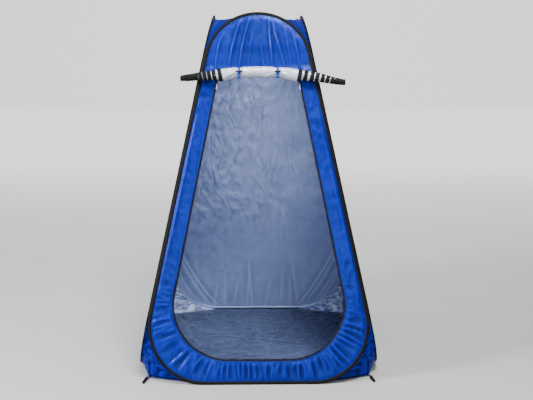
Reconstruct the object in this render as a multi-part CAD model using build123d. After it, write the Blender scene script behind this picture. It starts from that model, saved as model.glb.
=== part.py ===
"""Pop-up privacy shower tent: four sprung hoop walls, roof, floor, corner gussets and a rolled-up door.

Millimetres, +Z up, the doorway faces -Y, and the origin is the middle of the floor.
Each wall is drawn flat in its own plane, where u runs sideways, v up the slope and n out of the tent,
with n = 0 on the wall's inner face. All four walls share one outline.
"""

import math
import os

from build123d import *

# Tent
TENT_HEIGHT = 1900.0
HOOP_BASE_HALF = 640.0  # half width of the hoop's outer outline, carried down to the ground
HOOP_TOP_HALF = 233.0  # half the distance between opposite hoops at their tops
HOOP_CORNER_RADIUS = 295.0
SLEEVE_WIDTH = 20.0
SLEEVE_THICKNESS = 8.0
SEAM_GAP = 2.5  # from a sleeve's side edge to the line that its corner folds about
FOLD_LINE_INSET = 0.3  # the fold line lies this far inside the walls' inner faces
WIRE_RADIUS = 1.5
WIRE_END_GAP = 1.0
WIRE_PLAY = 0.08
FERRULE_RADIUS = 3.0
FERRULE_LENGTH = 40.0
FERRULE_PLAY = 0.1
PANEL_THICKNESS = 0.6

# Floor, roof and gussets
FLOOR_THICKNESS = 1.0
FLOOR_CORNER = (585.0, 545.0)
FABRIC_GAP = 0.6  # left between a soft sheet and the sleeves that it is sewn to
SHEET_THICKNESS = 0.8
ROOF_CELLS = 8
ROOF_EDGE_DROP = 20.0
ROOF_CORNER_Z = 1662.0
GUSSET_ROWS = 8
GUSSET_INSET = 5.0  # from a hoop's outline to the gusset's sewn edge
GUSSET_CORNER_Z = 4.0

# Doorway, in the front wall's plane
DOOR_BASE_HALF = 533.4
DOOR_SIDE_SLOPE = 0.1977
DOOR_CORNER_RADIUS = 290.0
DOOR_BOTTOM = 120.0
DOOR_TOP = 1636.0
ZIP_TAPE_WIDTH = 8.0
ZIP_TAPE_THICKNESS = 0.8
ZIP_COIL_WIDTH = 3.0
ZIP_COIL_THICKNESS = 2.4

# Zip sliders and pulls
SLIDER_LENGTH = 14.0
SLIDER_WIDTH = 14.0
SLIDER_HEIGHT = 6.0
SLIDER_V = 1556.0
SLIDER_PLAY = 0.4
SLIDER_WALL = 2.0
LUG_THICKNESS = 1.6
LUG_OUTER = 5.6  # from the slider's middle to a lug's outer face
PIN_RADIUS = 0.9
PIN_HEIGHT = 2.4  # above the slider's outer face
PULL_LENGTH = 28.0
PULL_WIDTH = 6.0
PULL_THICKNESS = 1.4
PULL_EYE_RADIUS = 2.0
PULL_EYE_PLAY = 0.08

# Rolled door: (sideways place, height above ground, radius) from its left end to its right end
ROLL_CENTRE_N = 38.0
ROLL_STATIONS = [
    (-391.0, 1555.0, 17.5),
    (-310.0, 1564.0, 21.0),
    (-225.0, 1572.0, 25.5),
    (-110.0, 1583.5, 27.5),
    (0.0, 1588.0, 27.5),
    (110.0, 1583.5, 27.5),
    (225.0, 1572.0, 25.5),
    (325.0, 1557.0, 20.0),
    (435.0, 1534.0, 17.5),
]
FLAP_TOP_HALF = 220.0  # the flap's own zip starts this far from the middle of the roll
TIE_U = 100.0
TIE_WIDTH = 12.0
TIE_THICKNESS = 1.2
TIE_PLAY = 0.9
TOGGLE_LENGTH = 35.0
TOGGLE_RADIUS = 4.0
TOGGLE_HOLE_RADIUS = 1.2

# Peg loops
LOOP_LENGTH = 80.0
LOOP_WIDTH = 14.0
LOOP_HEIGHT = 10.0
LOOP_WEBBING = 1.5
LOOP_SPLAY = 8.7  # degrees outward from straight ahead
LOOP_GAP = 3.0  # from the gusset's corner to the loop

# Room for cutting shapes and steps of a search
CUTTER_REACH = 2000.0
ARCH_STEPS = 20

# Worked out from the above
TILT = math.atan((HOOP_BASE_HALF - HOOP_TOP_HALF) / TENT_HEIGHT)
SIN_TILT = math.sin(TILT)
COS_TILT = math.cos(TILT)
SIDE_ANGLE = math.atan(SIN_TILT)  # of a hoop's straight sides, from its own middle line
WALL_BASE_HALF = HOOP_BASE_HALF + SEAM_GAP / math.cos(SIDE_ANGLE) + FOLD_LINE_INSET * COS_TILT
HOOP_TOP_V = (TENT_HEIGHT - SLEEVE_THICKNESS * SIN_TILT) / COS_TILT
HOOP_POINT_V = HOOP_BASE_HALF / SIN_TILT  # where a hoop's straight sides would meet
HOOP_TOP_RADIUS = (HOOP_POINT_V - HOOP_TOP_V) / (1 / math.sin(SIDE_ANGLE) - 1)
PANEL_N = (SLEEVE_THICKNESS - PANEL_THICKNESS) / 2
SLEEVE_MIDDLE_N = SLEEVE_THICKNESS / 2
DOOR_SIDE_ANGLE = math.atan(DOOR_SIDE_SLOPE)

FRONT_PLANE = Plane(
    origin=(0, -WALL_BASE_HALF, 0), x_dir=(1, 0, 0), z_dir=(0, -COS_TILT, SIN_TILT)
)
WALL_TURNS = {"front": 0, "right": 90, "back": 180, "left": 270}


def on_wall(shape, wall="front"):
    """Stands a shape drawn in a wall's (u, v, n) up in the tent."""
    return Rot(0, 0, WALL_TURNS[wall]) * FRONT_PLANE.location * shape


def wall_point(u, v, n, wall="front"):
    """The place in the tent of a wall's point (u, v, n)."""
    local = Location((u, v, n))
    return on_wall(local, wall).position


def save(name, shape):
    """Writes one piece and prints its volume."""
    shape.label = name
    export_step(shape, f"parts/{name}.step")
    print(name, round(shape.volume), "mm3")


def hoop_corners(inset):
    """The left, right and top corners of the triangle that a hoop's outline rounds off."""
    half = HOOP_BASE_HALF - inset / math.cos(SIDE_ANGLE) - inset * SIN_TILT
    top = HOOP_POINT_V - inset / math.sin(SIDE_ANGLE)
    return (-half, inset), (half, inset), (0, top)


def hoop_face(inset):
    """A hoop's outline, moved inward by inset, as a flat face."""
    left, right, top = hoop_corners(inset)
    flat = make_face(Polyline(left, right, top, close=True))
    top_vertex = flat.vertices().sort_by(Axis.Y)[-1]
    flat = fillet(top_vertex, HOOP_TOP_RADIUS - inset)
    return fillet(flat.vertices().group_by(Axis.Y)[0], HOOP_CORNER_RADIUS - inset)


def hoop_path():
    """The hoop wire's centre line, from one side of the ferrule round to the other."""
    inset = SLEEVE_WIDTH / 2
    left, right, top = hoop_corners(inset)
    corner = HOOP_CORNER_RADIUS - inset
    return FilletPolyline(
        (WIRE_END_GAP / 2, inset),
        right,
        top,
        left,
        (-WIRE_END_GAP / 2, inset),
        radius=[corner, HOOP_TOP_RADIUS - inset, corner],
    )


def along_hoop(radius):
    """A round bar along the hoop wire's centre line, at the middle of the sleeve."""
    path = hoop_path()
    bar = sweep(Plane(origin=path @ 0, z_dir=path % 0) * Circle(radius), path=path)
    return Pos(0, 0, SLEEVE_MIDDLE_N) * bar


def along_ferrule(radius, length):
    """A round bar where the ferrule joins the wire's ends."""
    bar = Rot(0, 90, 0) * Cylinder(radius, length)
    return Pos(0, SLEEVE_WIDTH / 2, SLEEVE_MIDDLE_N) * bar


def hoop_wire():
    return along_hoop(WIRE_RADIUS)


def hoop_ferrule():
    bore = along_ferrule(WIRE_RADIUS + WIRE_PLAY, FERRULE_LENGTH)
    return along_ferrule(FERRULE_RADIUS, FERRULE_LENGTH) - bore


def sleeve():
    """The binding round a hoop, hollow where the wire and its ferrule lie."""
    band = extrude(hoop_face(0) - hoop_face(SLEEVE_WIDTH), SLEEVE_THICKNESS)
    pocket_length = FERRULE_LENGTH + 2 * FERRULE_PLAY
    pocket = along_ferrule(FERRULE_RADIUS + FERRULE_PLAY, pocket_length)
    return band - along_hoop(WIRE_RADIUS + WIRE_PLAY) - pocket


def wall_panel():
    return Pos(0, 0, PANEL_N) * extrude(hoop_face(SLEEVE_WIDTH), PANEL_THICKNESS)


def door_half(v, inset=0.0):
    """Half the doorway's width at height v, inside its edge by inset."""
    return DOOR_BASE_HALF - DOOR_SIDE_SLOPE * v - inset / math.cos(DOOR_SIDE_ANGLE)


def door_face(inset):
    """The doorway's outline, moved inward by inset at its sides and bottom."""
    bottom = DOOR_BOTTOM + inset
    low, high = door_half(bottom, inset), door_half(DOOR_TOP, inset)
    corners = ((-low, bottom), (low, bottom), (high, DOOR_TOP), (-high, DOOR_TOP))
    flat = make_face(Polyline(*corners, close=True))
    return fillet(flat.vertices().group_by(Axis.Y)[0], DOOR_CORNER_RADIUS - inset)


def front_panel():
    return wall_panel() - extrude(door_face(0), SLEEVE_THICKNESS)


def zip_strip(outer, inner, thickness):
    """A strip round the doorway's sides and bottom, between two insets."""
    flat = door_face(outer) - door_face(inner)
    return Pos(0, 0, SLEEVE_MIDDLE_N - thickness / 2) * extrude(flat, thickness)


def door_zip_tape():
    return zip_strip(0, ZIP_TAPE_WIDTH, ZIP_TAPE_THICKNESS)


def door_zip_coil():
    return zip_strip(ZIP_TAPE_WIDTH, ZIP_TAPE_WIDTH + ZIP_COIL_WIDTH, ZIP_COIL_THICKNESS)


def slider_place(side):
    """Where a slider sits: x across the zip towards the doorway's middle, y up along the zip."""
    across = SLIDER_WIDTH / 2 + ZIP_TAPE_WIDTH / 2
    u = side * door_half(SLIDER_V, across)
    turn = math.degrees(DOOR_SIDE_ANGLE)
    return Location((u, SLIDER_V, SLEEVE_MIDDLE_N), (0, 0, side * turn))


def block(x_low, x_high, y_low, y_high, z_low, z_high):
    """A box between limits."""
    centre = ((x_low + x_high) / 2, (y_low + y_high) / 2, (z_low + z_high) / 2)
    return Pos(*centre) * Box(x_high - x_low, y_high - y_low, z_high - z_low)


def zip_slider(side):
    """Two plates joined by a middle wall, running on the fixed half of the zip, with a pinned bridge."""
    half_x, half_y, half_z = SLIDER_WIDTH / 2, SLIDER_LENGTH / 2, SLIDER_HEIGHT / 2
    zip_low = -half_x + ZIP_TAPE_WIDTH / 2  # the tape's inner edge, from the slider's middle
    coil_high = zip_low + ZIP_COIL_WIDTH
    tape_half = ZIP_TAPE_THICKNESS / 2 + SLIDER_PLAY
    coil_half = ZIP_COIL_THICKNESS / 2 + SLIDER_PLAY
    body = block(-half_x, half_x, -half_y, half_y, -half_z, half_z)
    body -= block(-half_x - 1, coil_high, -half_y - 1, half_y + 1, -tape_half, tape_half)
    coil_room = (zip_low - SLIDER_PLAY, coil_high + SLIDER_PLAY)
    body -= block(*coil_room, -half_y - 1, half_y + 1, -coil_half, coil_half)
    body -= block(
        coil_room[1] + SLIDER_WALL, half_x + 1, -half_y - 1, half_y + 1, -coil_half, coil_half
    )
    lug_top = half_z + PIN_HEIGHT + PULL_EYE_RADIUS
    for way in (-1, 1):
        outer, inner = way * LUG_OUTER, way * (LUG_OUTER - LUG_THICKNESS)
        low, high = min(outer, inner), max(outer, inner)
        body += block(low, high, -PULL_EYE_RADIUS, PULL_EYE_RADIUS, half_z, lug_top)
    pin = Rot(0, 90, 0) * Cylinder(PIN_RADIUS, 2 * LUG_OUTER)
    body += Pos(0, 0, half_z + PIN_HEIGHT) * pin
    return slider_place(side) * mirrored(body, side)


def zip_pull(side):
    """A flat tab that hangs from the slider's pin."""
    height = SLIDER_HEIGHT / 2 + PIN_HEIGHT
    eye = Rot(0, 90, 0) * Cylinder(PULL_EYE_RADIUS, PULL_WIDTH)
    half_width, half_thick = PULL_WIDTH / 2, PULL_THICKNESS / 2
    tab = block(-half_width, half_width, -PULL_LENGTH, 0, -half_thick, half_thick)
    hole = Rot(0, 90, 0) * Cylinder(PIN_RADIUS + PULL_EYE_PLAY, PULL_WIDTH + 2)
    return slider_place(side) * mirrored(Pos(0, 0, height) * (eye + tab - hole), side)


def mirrored(shape, side):
    """A piece drawn for the left side, turned over for the right side."""
    return shape if side < 0 else mirror(shape, about=Plane.YZ)


def roll_station(u, height, radius):
    """One round section of the rolled door."""
    v = (height - ROLL_CENTRE_N * SIN_TILT) / COS_TILT
    return Plane(origin=(u, v, ROLL_CENTRE_N), x_dir=(0, 1, 0), z_dir=(1, 0, 0)) * Circle(radius)


def whole_roll():
    return loft([roll_station(*station) for station in ROLL_STATIONS])


def roll_between(low, high):
    """The stretch of the rolled door between two places along it."""
    return whole_roll() & block(low, high, 0, CUTTER_REACH, -CUTTER_REACH, CUTTER_REACH)


def roll_centre_v(u):
    """The height up the wall of the roll's middle line, at a place along it."""
    for (u0, z0, _), (u1, z1, _) in zip(ROLL_STATIONS, ROLL_STATIONS[1:]):
        if u0 <= u <= u1:
            height = z0 + (z1 - z0) * (u - u0) / (u1 - u0)
            return (height - ROLL_CENTRE_N * SIN_TILT) / COS_TILT
    raise ValueError("off the roll")


def tie_outer_radius():
    return max(radius for _, _, radius in ROLL_STATIONS) + TIE_PLAY + TIE_THICKNESS


def door_tie(side):
    """A band of tape round the rolled door."""
    ring = Circle(tie_outer_radius()) - Circle(tie_outer_radius() - TIE_THICKNESS)
    u = side * TIE_U
    plane = Plane(
        origin=(u, roll_centre_v(u), ROLL_CENTRE_N), x_dir=(0, 1, 0), z_dir=(1, 0, 0)
    )
    return extrude(plane * ring, TIE_WIDTH / 2, both=True)


def tie_toggle(side):
    """A round bar across the front of its tie, with a cord hole through its middle."""
    u = side * TIE_U
    n = ROLL_CENTRE_N + tie_outer_radius() + TIE_PLAY + TOGGLE_RADIUS
    straight = TOGGLE_LENGTH / 2 - TOGGLE_RADIUS
    bar = Rot(0, 90, 0) * Cylinder(TOGGLE_RADIUS, 2 * straight)
    bar += Pos(straight, 0, 0) * Sphere(TOGGLE_RADIUS)
    bar += Pos(-straight, 0, 0) * Sphere(TOGGLE_RADIUS)
    bar -= Cylinder(TOGGLE_HOLE_RADIUS, 3 * TOGGLE_RADIUS)
    return Pos(u, roll_centre_v(u), n) * bar


def facet(*corners):
    return Face(Wire.make_polygon(corners, close=True))


def sheet_solid(grid, shift):
    """A closed thin solid of flat facets: a grid of points and the same grid moved by shift(point)."""
    near = [[Vector(*p) for p in row] for row in grid]
    far = [[p + shift(p) for p in row] for row in near]
    rows, columns = len(near), len(near[0])
    faces = []
    for i in range(rows - 1):
        for j in range(columns - 1):
            for side in (near, far):
                a, b, c, d = side[i][j], side[i][j + 1], side[i + 1][j + 1], side[i + 1][j]
                faces += [facet(a, b, c), facet(a, c, d)]
    rim = [(0, j) for j in range(columns - 1)]
    rim += [(i, columns - 1) for i in range(rows - 1)]
    rim += [(rows - 1, j) for j in range(columns - 1, 0, -1)]
    rim += [(i, 0) for i in range(rows - 1, 0, -1)]
    for (i, j), (k, m) in zip(rim, rim[1:] + rim[:1]):
        a, b, c, d = near[i][j], near[k][m], far[k][m], far[i][j]
        faces += [facet(a, b, c), facet(a, c, d)]
    solid = Solid(Shell(faces))
    return solid if solid.volume > 0 else Solid(solid.wrapped.Reversed())


def wall_distance(z, n):
    """How far a wall's layer n is from the tent's middle at height z."""
    return WALL_BASE_HALF + n / COS_TILT - z * math.tan(TILT)


def roof_arch_drop(share):
    """How far the roof's edge lies below its top, at a share of the way to the corner."""
    top = TENT_HEIGHT - ROOF_EDGE_DROP
    half = wall_distance(ROOF_CORNER_Z, -FABRIC_GAP)
    rise = (top - ROOF_CORNER_Z) / COS_TILT
    radius = (half**2 + rise**2) / (2 * rise)
    z = top
    for _ in range(ARCH_STEPS):
        u = share * wall_distance(z, -FABRIC_GAP)
        z = top - (radius - math.sqrt(radius**2 - u**2)) * COS_TILT
    return top - z


def roof_panel():
    """The roof: level along both middle lines, and falling to its four corners."""
    top = TENT_HEIGHT - ROOF_EDGE_DROP
    full = roof_arch_drop(1)
    steps = [2 * i / ROOF_CELLS - 1 for i in range(ROOF_CELLS + 1)]
    grid = []
    for q in steps:
        row = []
        for p in steps:
            drop = roof_arch_drop(abs(q)) * p * p + roof_arch_drop(abs(p)) * q * q
            z = top - drop + full * p * p * q * q
            reach = wall_distance(z, -FABRIC_GAP)
            row.append((p * reach, q * reach, z))
        grid.append(row)
    return sheet_solid(grid, lambda p: Vector(0, 0, -SHEET_THICKNESS))


def floor_sheet():
    foot = HOOP_BASE_HALF - HOOP_CORNER_RADIUS / math.tan(math.radians(90) / 2 - SIDE_ANGLE / 2)
    edge = WALL_BASE_HALF - FABRIC_GAP
    x, y = FLOOR_CORNER
    quarter = [(foot, -edge), (x, -y), (edge, -foot), (edge, foot), (x, y), (foot, edge)]
    outline = quarter + [(-a, -b) for a, b in quarter]
    return extrude(make_face(Polyline(*outline, close=True)), FLOOR_THICKNESS)


def corner_arc(side, share, wall):
    """A point on the lower corner of a hoop's outline, from its side (0) down to the ground (1)."""
    _, right, _ = hoop_corners(GUSSET_INSET)
    radius = HOOP_CORNER_RADIUS - GUSSET_INSET
    corner_angle = math.pi / 2 - SIDE_ANGLE
    centre_u = right[0] - radius / math.tan(corner_angle / 2)
    angle = SIDE_ANGLE - share * (math.pi / 2 + SIDE_ANGLE)
    u = centre_u + radius * math.cos(angle)
    v = GUSSET_INSET + radius + radius * math.sin(angle)
    return wall_point(side * u, v, -FABRIC_GAP, wall)


def corner_gusset(wall, next_wall):
    """Fabric between two hoops' rounded lower corners, with a fold down to the floor's corner.

    next_wall follows wall anticlockwise, seen from above."""
    x_sign = {"front": 1, "right": 1, "back": -1, "left": -1}[wall]
    y_sign = {"front": -1, "right": 1, "back": 1, "left": -1}[wall]
    start = (corner_arc(1, 0, wall) + corner_arc(-1, 0, next_wall)) * 0.5
    end = Vector(x_sign * FLOOR_CORNER[0], y_sign * FLOOR_CORNER[1], GUSSET_CORNER_Z)
    grid = []
    for i in range(GUSSET_ROWS + 1):
        share = i / GUSSET_ROWS
        a = corner_arc(1, share, wall)
        b = corner_arc(-1, share, next_wall)
        fold = start + (end - start) * share
        middle_a, middle_b = (a + fold) * 0.5, (b + fold) * 0.5
        grid.append([tuple(p) for p in (a, middle_a, fold, middle_b, b)])
    inward = Vector(-x_sign, -y_sign, 0).normalized() * SHEET_THICKNESS
    return sheet_solid(grid, lambda p: inward)


def peg_loop(x_sign, y_sign):
    """A loop of webbing standing on its edge, flat on the ground, outside a corner of the floor."""
    outer = SlotOverall(LOOP_LENGTH, LOOP_WIDTH)
    inner = SlotOverall(LOOP_LENGTH - 2 * LOOP_WEBBING, LOOP_WIDTH - 2 * LOOP_WEBBING)
    band = extrude(outer - inner, LOOP_HEIGHT)
    splay = math.radians(LOOP_SPLAY)
    reach = LOOP_LENGTH / 2 + LOOP_GAP
    x = x_sign * (FLOOR_CORNER[0] + reach * math.sin(splay))
    y = y_sign * (FLOOR_CORNER[1] + reach * math.cos(splay))
    turn = math.degrees(math.atan2(y_sign * math.cos(splay), x_sign * math.sin(splay)))
    return Pos(x, y, 0) * Rot(0, 0, turn) * band


def main():
    os.makedirs("parts", exist_ok=True)
    for wall in WALL_TURNS:
        panel = front_panel() if wall == "front" else wall_panel()
        save(f"{wall}_hoop_wire", on_wall(hoop_wire(), wall))
        save(f"{wall}_hoop_ferrule", on_wall(hoop_ferrule(), wall))
        save(f"{wall}_sleeve", on_wall(sleeve(), wall))
        save(f"{wall}_panel", on_wall(panel, wall))
    save("roof_panel", roof_panel())
    save("floor_sheet", floor_sheet())
    save("gusset_front_right", corner_gusset("front", "right"))
    save("gusset_back_right", corner_gusset("right", "back"))
    save("gusset_back_left", corner_gusset("back", "left"))
    save("gusset_front_left", corner_gusset("left", "front"))
    save("door_zip_tape", on_wall(door_zip_tape()))
    save("door_zip_coil", on_wall(door_zip_coil()))
    ends = ROLL_STATIONS[0][0], ROLL_STATIONS[-1][0]
    save("door_flap_roll", on_wall(roll_between(-FLAP_TOP_HALF, FLAP_TOP_HALF)))
    save("flap_zip_left", on_wall(roll_between(ends[0], -FLAP_TOP_HALF)))
    save("flap_zip_right", on_wall(roll_between(FLAP_TOP_HALF, ends[1])))
    for name, side in (("left", -1), ("right", 1)):
        save(f"zip_slider_{name}", on_wall(zip_slider(side)))
        save(f"zip_pull_{name}", on_wall(zip_pull(side)))
        save(f"door_tie_{name}", on_wall(door_tie(side)))
        save(f"toggle_{name}", on_wall(tie_toggle(side)))
        save(f"peg_loop_front_{name}", peg_loop(side, -1))
        save(f"peg_loop_back_{name}", peg_loop(side, 1))


main()
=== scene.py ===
"""A pop-up privacy shower tent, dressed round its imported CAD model.

Everything is in metres in the CAD model's frame: +Z up, the doorway faces -Y, the origin is the middle
of the floor. Each wall is laid out flat in its own plane, where u runs sideways, v up the slope and
n out of the tent, with n = 0 on the wall's inner face.
"""

import math

import bpy
import numpy as np
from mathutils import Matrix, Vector


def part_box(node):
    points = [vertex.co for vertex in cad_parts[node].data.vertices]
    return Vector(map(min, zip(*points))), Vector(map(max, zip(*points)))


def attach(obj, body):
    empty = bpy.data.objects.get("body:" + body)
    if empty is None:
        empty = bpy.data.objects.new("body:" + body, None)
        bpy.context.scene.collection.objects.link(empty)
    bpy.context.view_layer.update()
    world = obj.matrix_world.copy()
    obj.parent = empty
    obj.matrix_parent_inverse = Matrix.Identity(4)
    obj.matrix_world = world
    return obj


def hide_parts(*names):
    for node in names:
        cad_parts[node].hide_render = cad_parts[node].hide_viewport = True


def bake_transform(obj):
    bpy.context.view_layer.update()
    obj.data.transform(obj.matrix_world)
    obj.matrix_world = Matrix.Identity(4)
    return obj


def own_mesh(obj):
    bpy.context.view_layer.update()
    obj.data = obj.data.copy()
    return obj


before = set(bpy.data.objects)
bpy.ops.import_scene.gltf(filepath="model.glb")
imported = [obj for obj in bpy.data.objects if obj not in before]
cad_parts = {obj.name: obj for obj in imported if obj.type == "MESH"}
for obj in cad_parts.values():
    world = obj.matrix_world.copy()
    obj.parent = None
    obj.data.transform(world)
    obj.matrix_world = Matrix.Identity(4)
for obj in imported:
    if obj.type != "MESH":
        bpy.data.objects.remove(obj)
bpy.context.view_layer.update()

# ------------------------------ sizes that repeat the CAD model's

TENT_HEIGHT = 1.9
HOOP_BASE_HALF = 0.640
HOOP_TOP_HALF = 0.233
HOOP_CORNER_RADIUS = 0.295
SLEEVE_THICKNESS = 0.008
SEAM_GAP = 0.0025
FOLD_LINE_INSET = 0.0003
FLOOR_CORNER = (0.585, 0.545)
ROOF_EDGE_DROP = 0.020
ROOF_CORNER_Z = 1.662
GUSSET_INSET = 0.005
DOOR_BASE_HALF = 0.5334
DOOR_SIDE_SLOPE = 0.1977
DOOR_CORNER_RADIUS = 0.290
DOOR_BOTTOM = 0.120
DOOR_TOP = 1.636
ROLL_CENTRE_N = 0.038
ROLL_STATIONS = np.array([
    (-0.391, 1.5550, 0.0175), (-0.310, 1.5640, 0.0210), (-0.225, 1.5720, 0.0255),
    (-0.110, 1.5835, 0.0275), (0.000, 1.5880, 0.0275), (0.110, 1.5835, 0.0275),
    (0.225, 1.5720, 0.0255), (0.325, 1.5570, 0.0200), (0.435, 1.5340, 0.0175),
])  # sideways place, height above ground, radius
TIE_U = 0.100
LOOP_LENGTH = 0.080
LOOP_WIDTH = 0.014
LOOP_HEIGHT = 0.010
LOOP_SPLAY = math.radians(8.7)
LOOP_GAP = 0.003

TILT = math.atan((HOOP_BASE_HALF - HOOP_TOP_HALF) / TENT_HEIGHT)
SIN_TILT = math.sin(TILT)
COS_TILT = math.cos(TILT)
SIDE_ANGLE = math.atan(SIN_TILT)  # a hoop's straight sides lean in by this much
WALL_BASE_HALF = HOOP_BASE_HALF + SEAM_GAP / math.cos(SIDE_ANGLE) + FOLD_LINE_INSET * COS_TILT
HOOP_TOP_V = (TENT_HEIGHT - SLEEVE_THICKNESS * SIN_TILT) / COS_TILT
HOOP_POINT_V = HOOP_BASE_HALF / SIN_TILT
HOOP_TOP_RADIUS = (HOOP_POINT_V - HOOP_TOP_V) / (1 / math.sin(SIDE_ANGLE) - 1)
DOOR_SIDE_ANGLE = math.atan(DOOR_SIDE_SLOPE)
SLEEVE_MIDDLE_N = SLEEVE_THICKNESS / 2

WALLS = ("front", "right", "back", "left")  # anticlockwise seen from above
QUARTER_TURNS = {wall: i for i, wall in enumerate(WALLS)}
SIDES = ((-1, "left"), (1, "right"))

# ------------------------------ small tools


def smooth(low, high, x):
    """0 below low, 1 above high, and a soft step between."""
    t = np.clip((x - low) / (high - low), 0, 1)
    return t * t * (3 - 2 * t)


def joined(*parts):
    """Arrays of one shape, or that broadcast to one, side by side along a new last axis."""
    return np.stack(np.broadcast_arrays(*parts), -1)


def unit(way):
    """A direction, or each row of directions, made one long."""
    return way / np.linalg.norm(way, axis=-1, keepdims=True)


def distance_along(path):
    """How far along a path each of its points is."""
    return np.concatenate([[0], np.cumsum(np.linalg.norm(np.diff(path, axis=0), axis=1))])


def line(start, end, steps):
    """steps + 1 points from start to end."""
    share = np.linspace(0, 1, steps + 1)[:, None]
    return np.array(start) * (1 - share) + np.array(end) * share


def arc(centre, radius, start, end, steps):
    """steps + 1 points of an arc between two angles."""
    angle = np.linspace(start, end, steps + 1)
    return joined(centre[0] + radius * np.cos(angle), centre[1] + radius * np.sin(angle))


def noise(x, y, seed):
    """Smooth gradient noise from about -1 to 1 over a plane, one feature to a unit."""
    x, y = np.broadcast_arrays(np.asarray(x, float), np.asarray(y, float))
    lattice = np.random.default_rng(seed).uniform(0, 2 * math.pi, (64, 64))
    i, j = np.floor(x).astype(int), np.floor(y).astype(int)
    fx, fy = x - i, y - j
    total = np.zeros_like(fx)
    for di in (0, 1):
        for dj in (0, 1):
            angle = lattice[(i + di) % 64, (j + dj) % 64]
            slope = np.cos(angle) * (fx - di) + np.sin(angle) * (fy - dj)
            weight_x = smooth(0, 1, 1 - np.abs(fx - di))
            weight_y = smooth(0, 1, 1 - np.abs(fy - dj))
            total += weight_x * weight_y * slope
    return 1.6 * total


def crumple(x, y, size, seed, octaves=3):
    """Creased noise: flat-sided ridges and hollows like thin coated cloth, from about -1 to 1."""
    total, share, weight = 0.0, 0.0, 1.0
    for octave in range(octaves):
        scale = 2**octave / size
        bent_x = x + 0.35 * size * noise(x / size, y / size, seed + 50 + octave)
        bent_y = y + 0.35 * size * noise(x / size, y / size, seed + 70 + octave)
        ridge = 1 - 2.4 * np.sqrt(noise(bent_x * scale, bent_y * scale, seed + octave) ** 2 + 0.004)
        total = total + weight * ridge
        share += weight
        weight *= 0.5
    return total / share


def pull_fold(x, y, start, end, height, width, bend=0.0):
    """A long crisp fold between two places, with a shallow hollow beside it, fading out at its ends."""
    start, end = np.array(start, float), np.array(end, float)
    length = math.dist(start, end)
    along_x, along_y = (end - start) / length
    share = ((x - start[0]) * along_x + (y - start[1]) * along_y) / length
    across = (x - start[0]) * -along_y + (y - start[1]) * along_x
    across = across - bend * 4 * share * (1 - share)
    d = across / width
    fade = smooth(0, 0.3, share) * smooth(0, 0.3, 1 - share)
    crest = np.exp(-1.6 * (np.sqrt(d * d + 0.05) - math.sqrt(0.05)))
    return height * fade * (crest - 0.35 * np.exp(-((d / 2.4) ** 2)))


def crease_net(x, y, size, seed):
    """Thin wandering creases that cross each other, as in cloth that was packed away: 1 on a crease."""
    warp = 0.35 * noise(x / (2 * size), y / (2 * size), seed + 1)
    first = noise(x / size + warp, y / (1.4 * size), seed + 2)
    second = noise(x / (1.3 * size), y / size - warp, seed + 3)
    width = 0.07
    return np.exp(-((first / width) ** 2)) + np.exp(-((second / width) ** 2))


def fan(x, y, centre, angles, reach, count, height, width, seed):
    """Folds that spread from a corner where the cloth is held, between two angles in degrees."""
    random = np.random.default_rng(seed)
    total = np.zeros_like(x)
    for i in range(count):
        share = (i + random.uniform(0.15, 0.85)) / count
        angle = math.radians(angles[0] + (angles[1] - angles[0]) * share)
        near, far = reach[0] * random.uniform(0.7, 1.3), reach[1] * random.uniform(0.55, 1.1)
        way = np.array([math.cos(angle), math.sin(angle)])
        tall, wide = height * random.uniform(0.5, 1.2), width * random.uniform(0.7, 1.4)
        bend = random.uniform(-0.03, 0.03) * reach[1]
        total += pull_fold(x, y, centre + way * near, centre + way * far, tall, wide, bend)
    return total


def corner_fans(x, y, corner, spread, reach, height, width, seed):
    """Fans of folds from a sheet's four corners to its middle, spread degrees to either side."""
    total = 0
    for x_sign in (-1, 1):
        for y_sign in (-1, 1):
            middle = math.degrees(math.atan2(-y_sign, -x_sign))
            angles = (middle - spread, middle + spread)
            place = np.array([x_sign, y_sign]) * corner
            total = total + fan(x, y, place, angles, reach, 8, height, width, seed + x_sign + 3 * y_sign)
    return total


def wall_xyz(u, v, n, wall="front"):
    """A wall's (u, v, n) as places in the tent."""
    x = u + 0 * v
    y = -WALL_BASE_HALF + v * SIN_TILT - n * COS_TILT
    z = v * COS_TILT + n * SIN_TILT
    for _ in range(QUARTER_TURNS[wall]):
        x, y = -y, x
    return joined(x, y, z)


def wall_normal(wall):
    """A wall's outward direction."""
    return wall_xyz(0.0, 0.0, 1.0, wall) - wall_xyz(0.0, 0.0, 0.0, wall)


def grid_faces(rows, columns, wrap_rows=False, wrap_columns=False):
    """The four-sided faces of a grid of points, row by row."""
    i = np.arange(rows if wrap_rows else rows - 1)[:, None]
    j = np.arange(columns if wrap_columns else columns - 1)[None, :]
    i_next, j_next = (i + 1) % rows, (j + 1) % columns
    corners = (i * columns + j, i * columns + j_next, i_next * columns + j_next, i_next * columns + j)
    return joined(*corners).reshape(-1, 4)


def tube_faces(rings, sides):
    """The faces of a tube of rings, closed at both ends."""
    faces = grid_faces(rings, sides, wrap_columns=True).tolist()
    last = (rings - 1) * sides
    return faces + [list(range(sides))[::-1], list(range(last, last + sides))]


def local_relief(height, reach, full):
    """How far cloth in a grid stands out from the cloth around it, as a share of a full fold's height; the
    cloth's colour turns this into painted shade in hollows and painted highlights on crests.
    """
    around = height
    for axis, steps in enumerate(reach):
        window = np.ones(2 * steps + 1) / (2 * steps + 1)
        pad = [(steps, steps) if side == axis else (0, 0) for side in (0, 1)]
        padded = np.pad(around, pad, mode="edge")
        around = np.apply_along_axis(np.convolve, axis, padded, window, "valid")
    return np.tanh((height - around) / full)


def add_object(name, data):
    """A new object in the scene."""
    obj = bpy.data.objects.new(name, data)
    bpy.context.scene.collection.objects.link(obj)
    return obj


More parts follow.
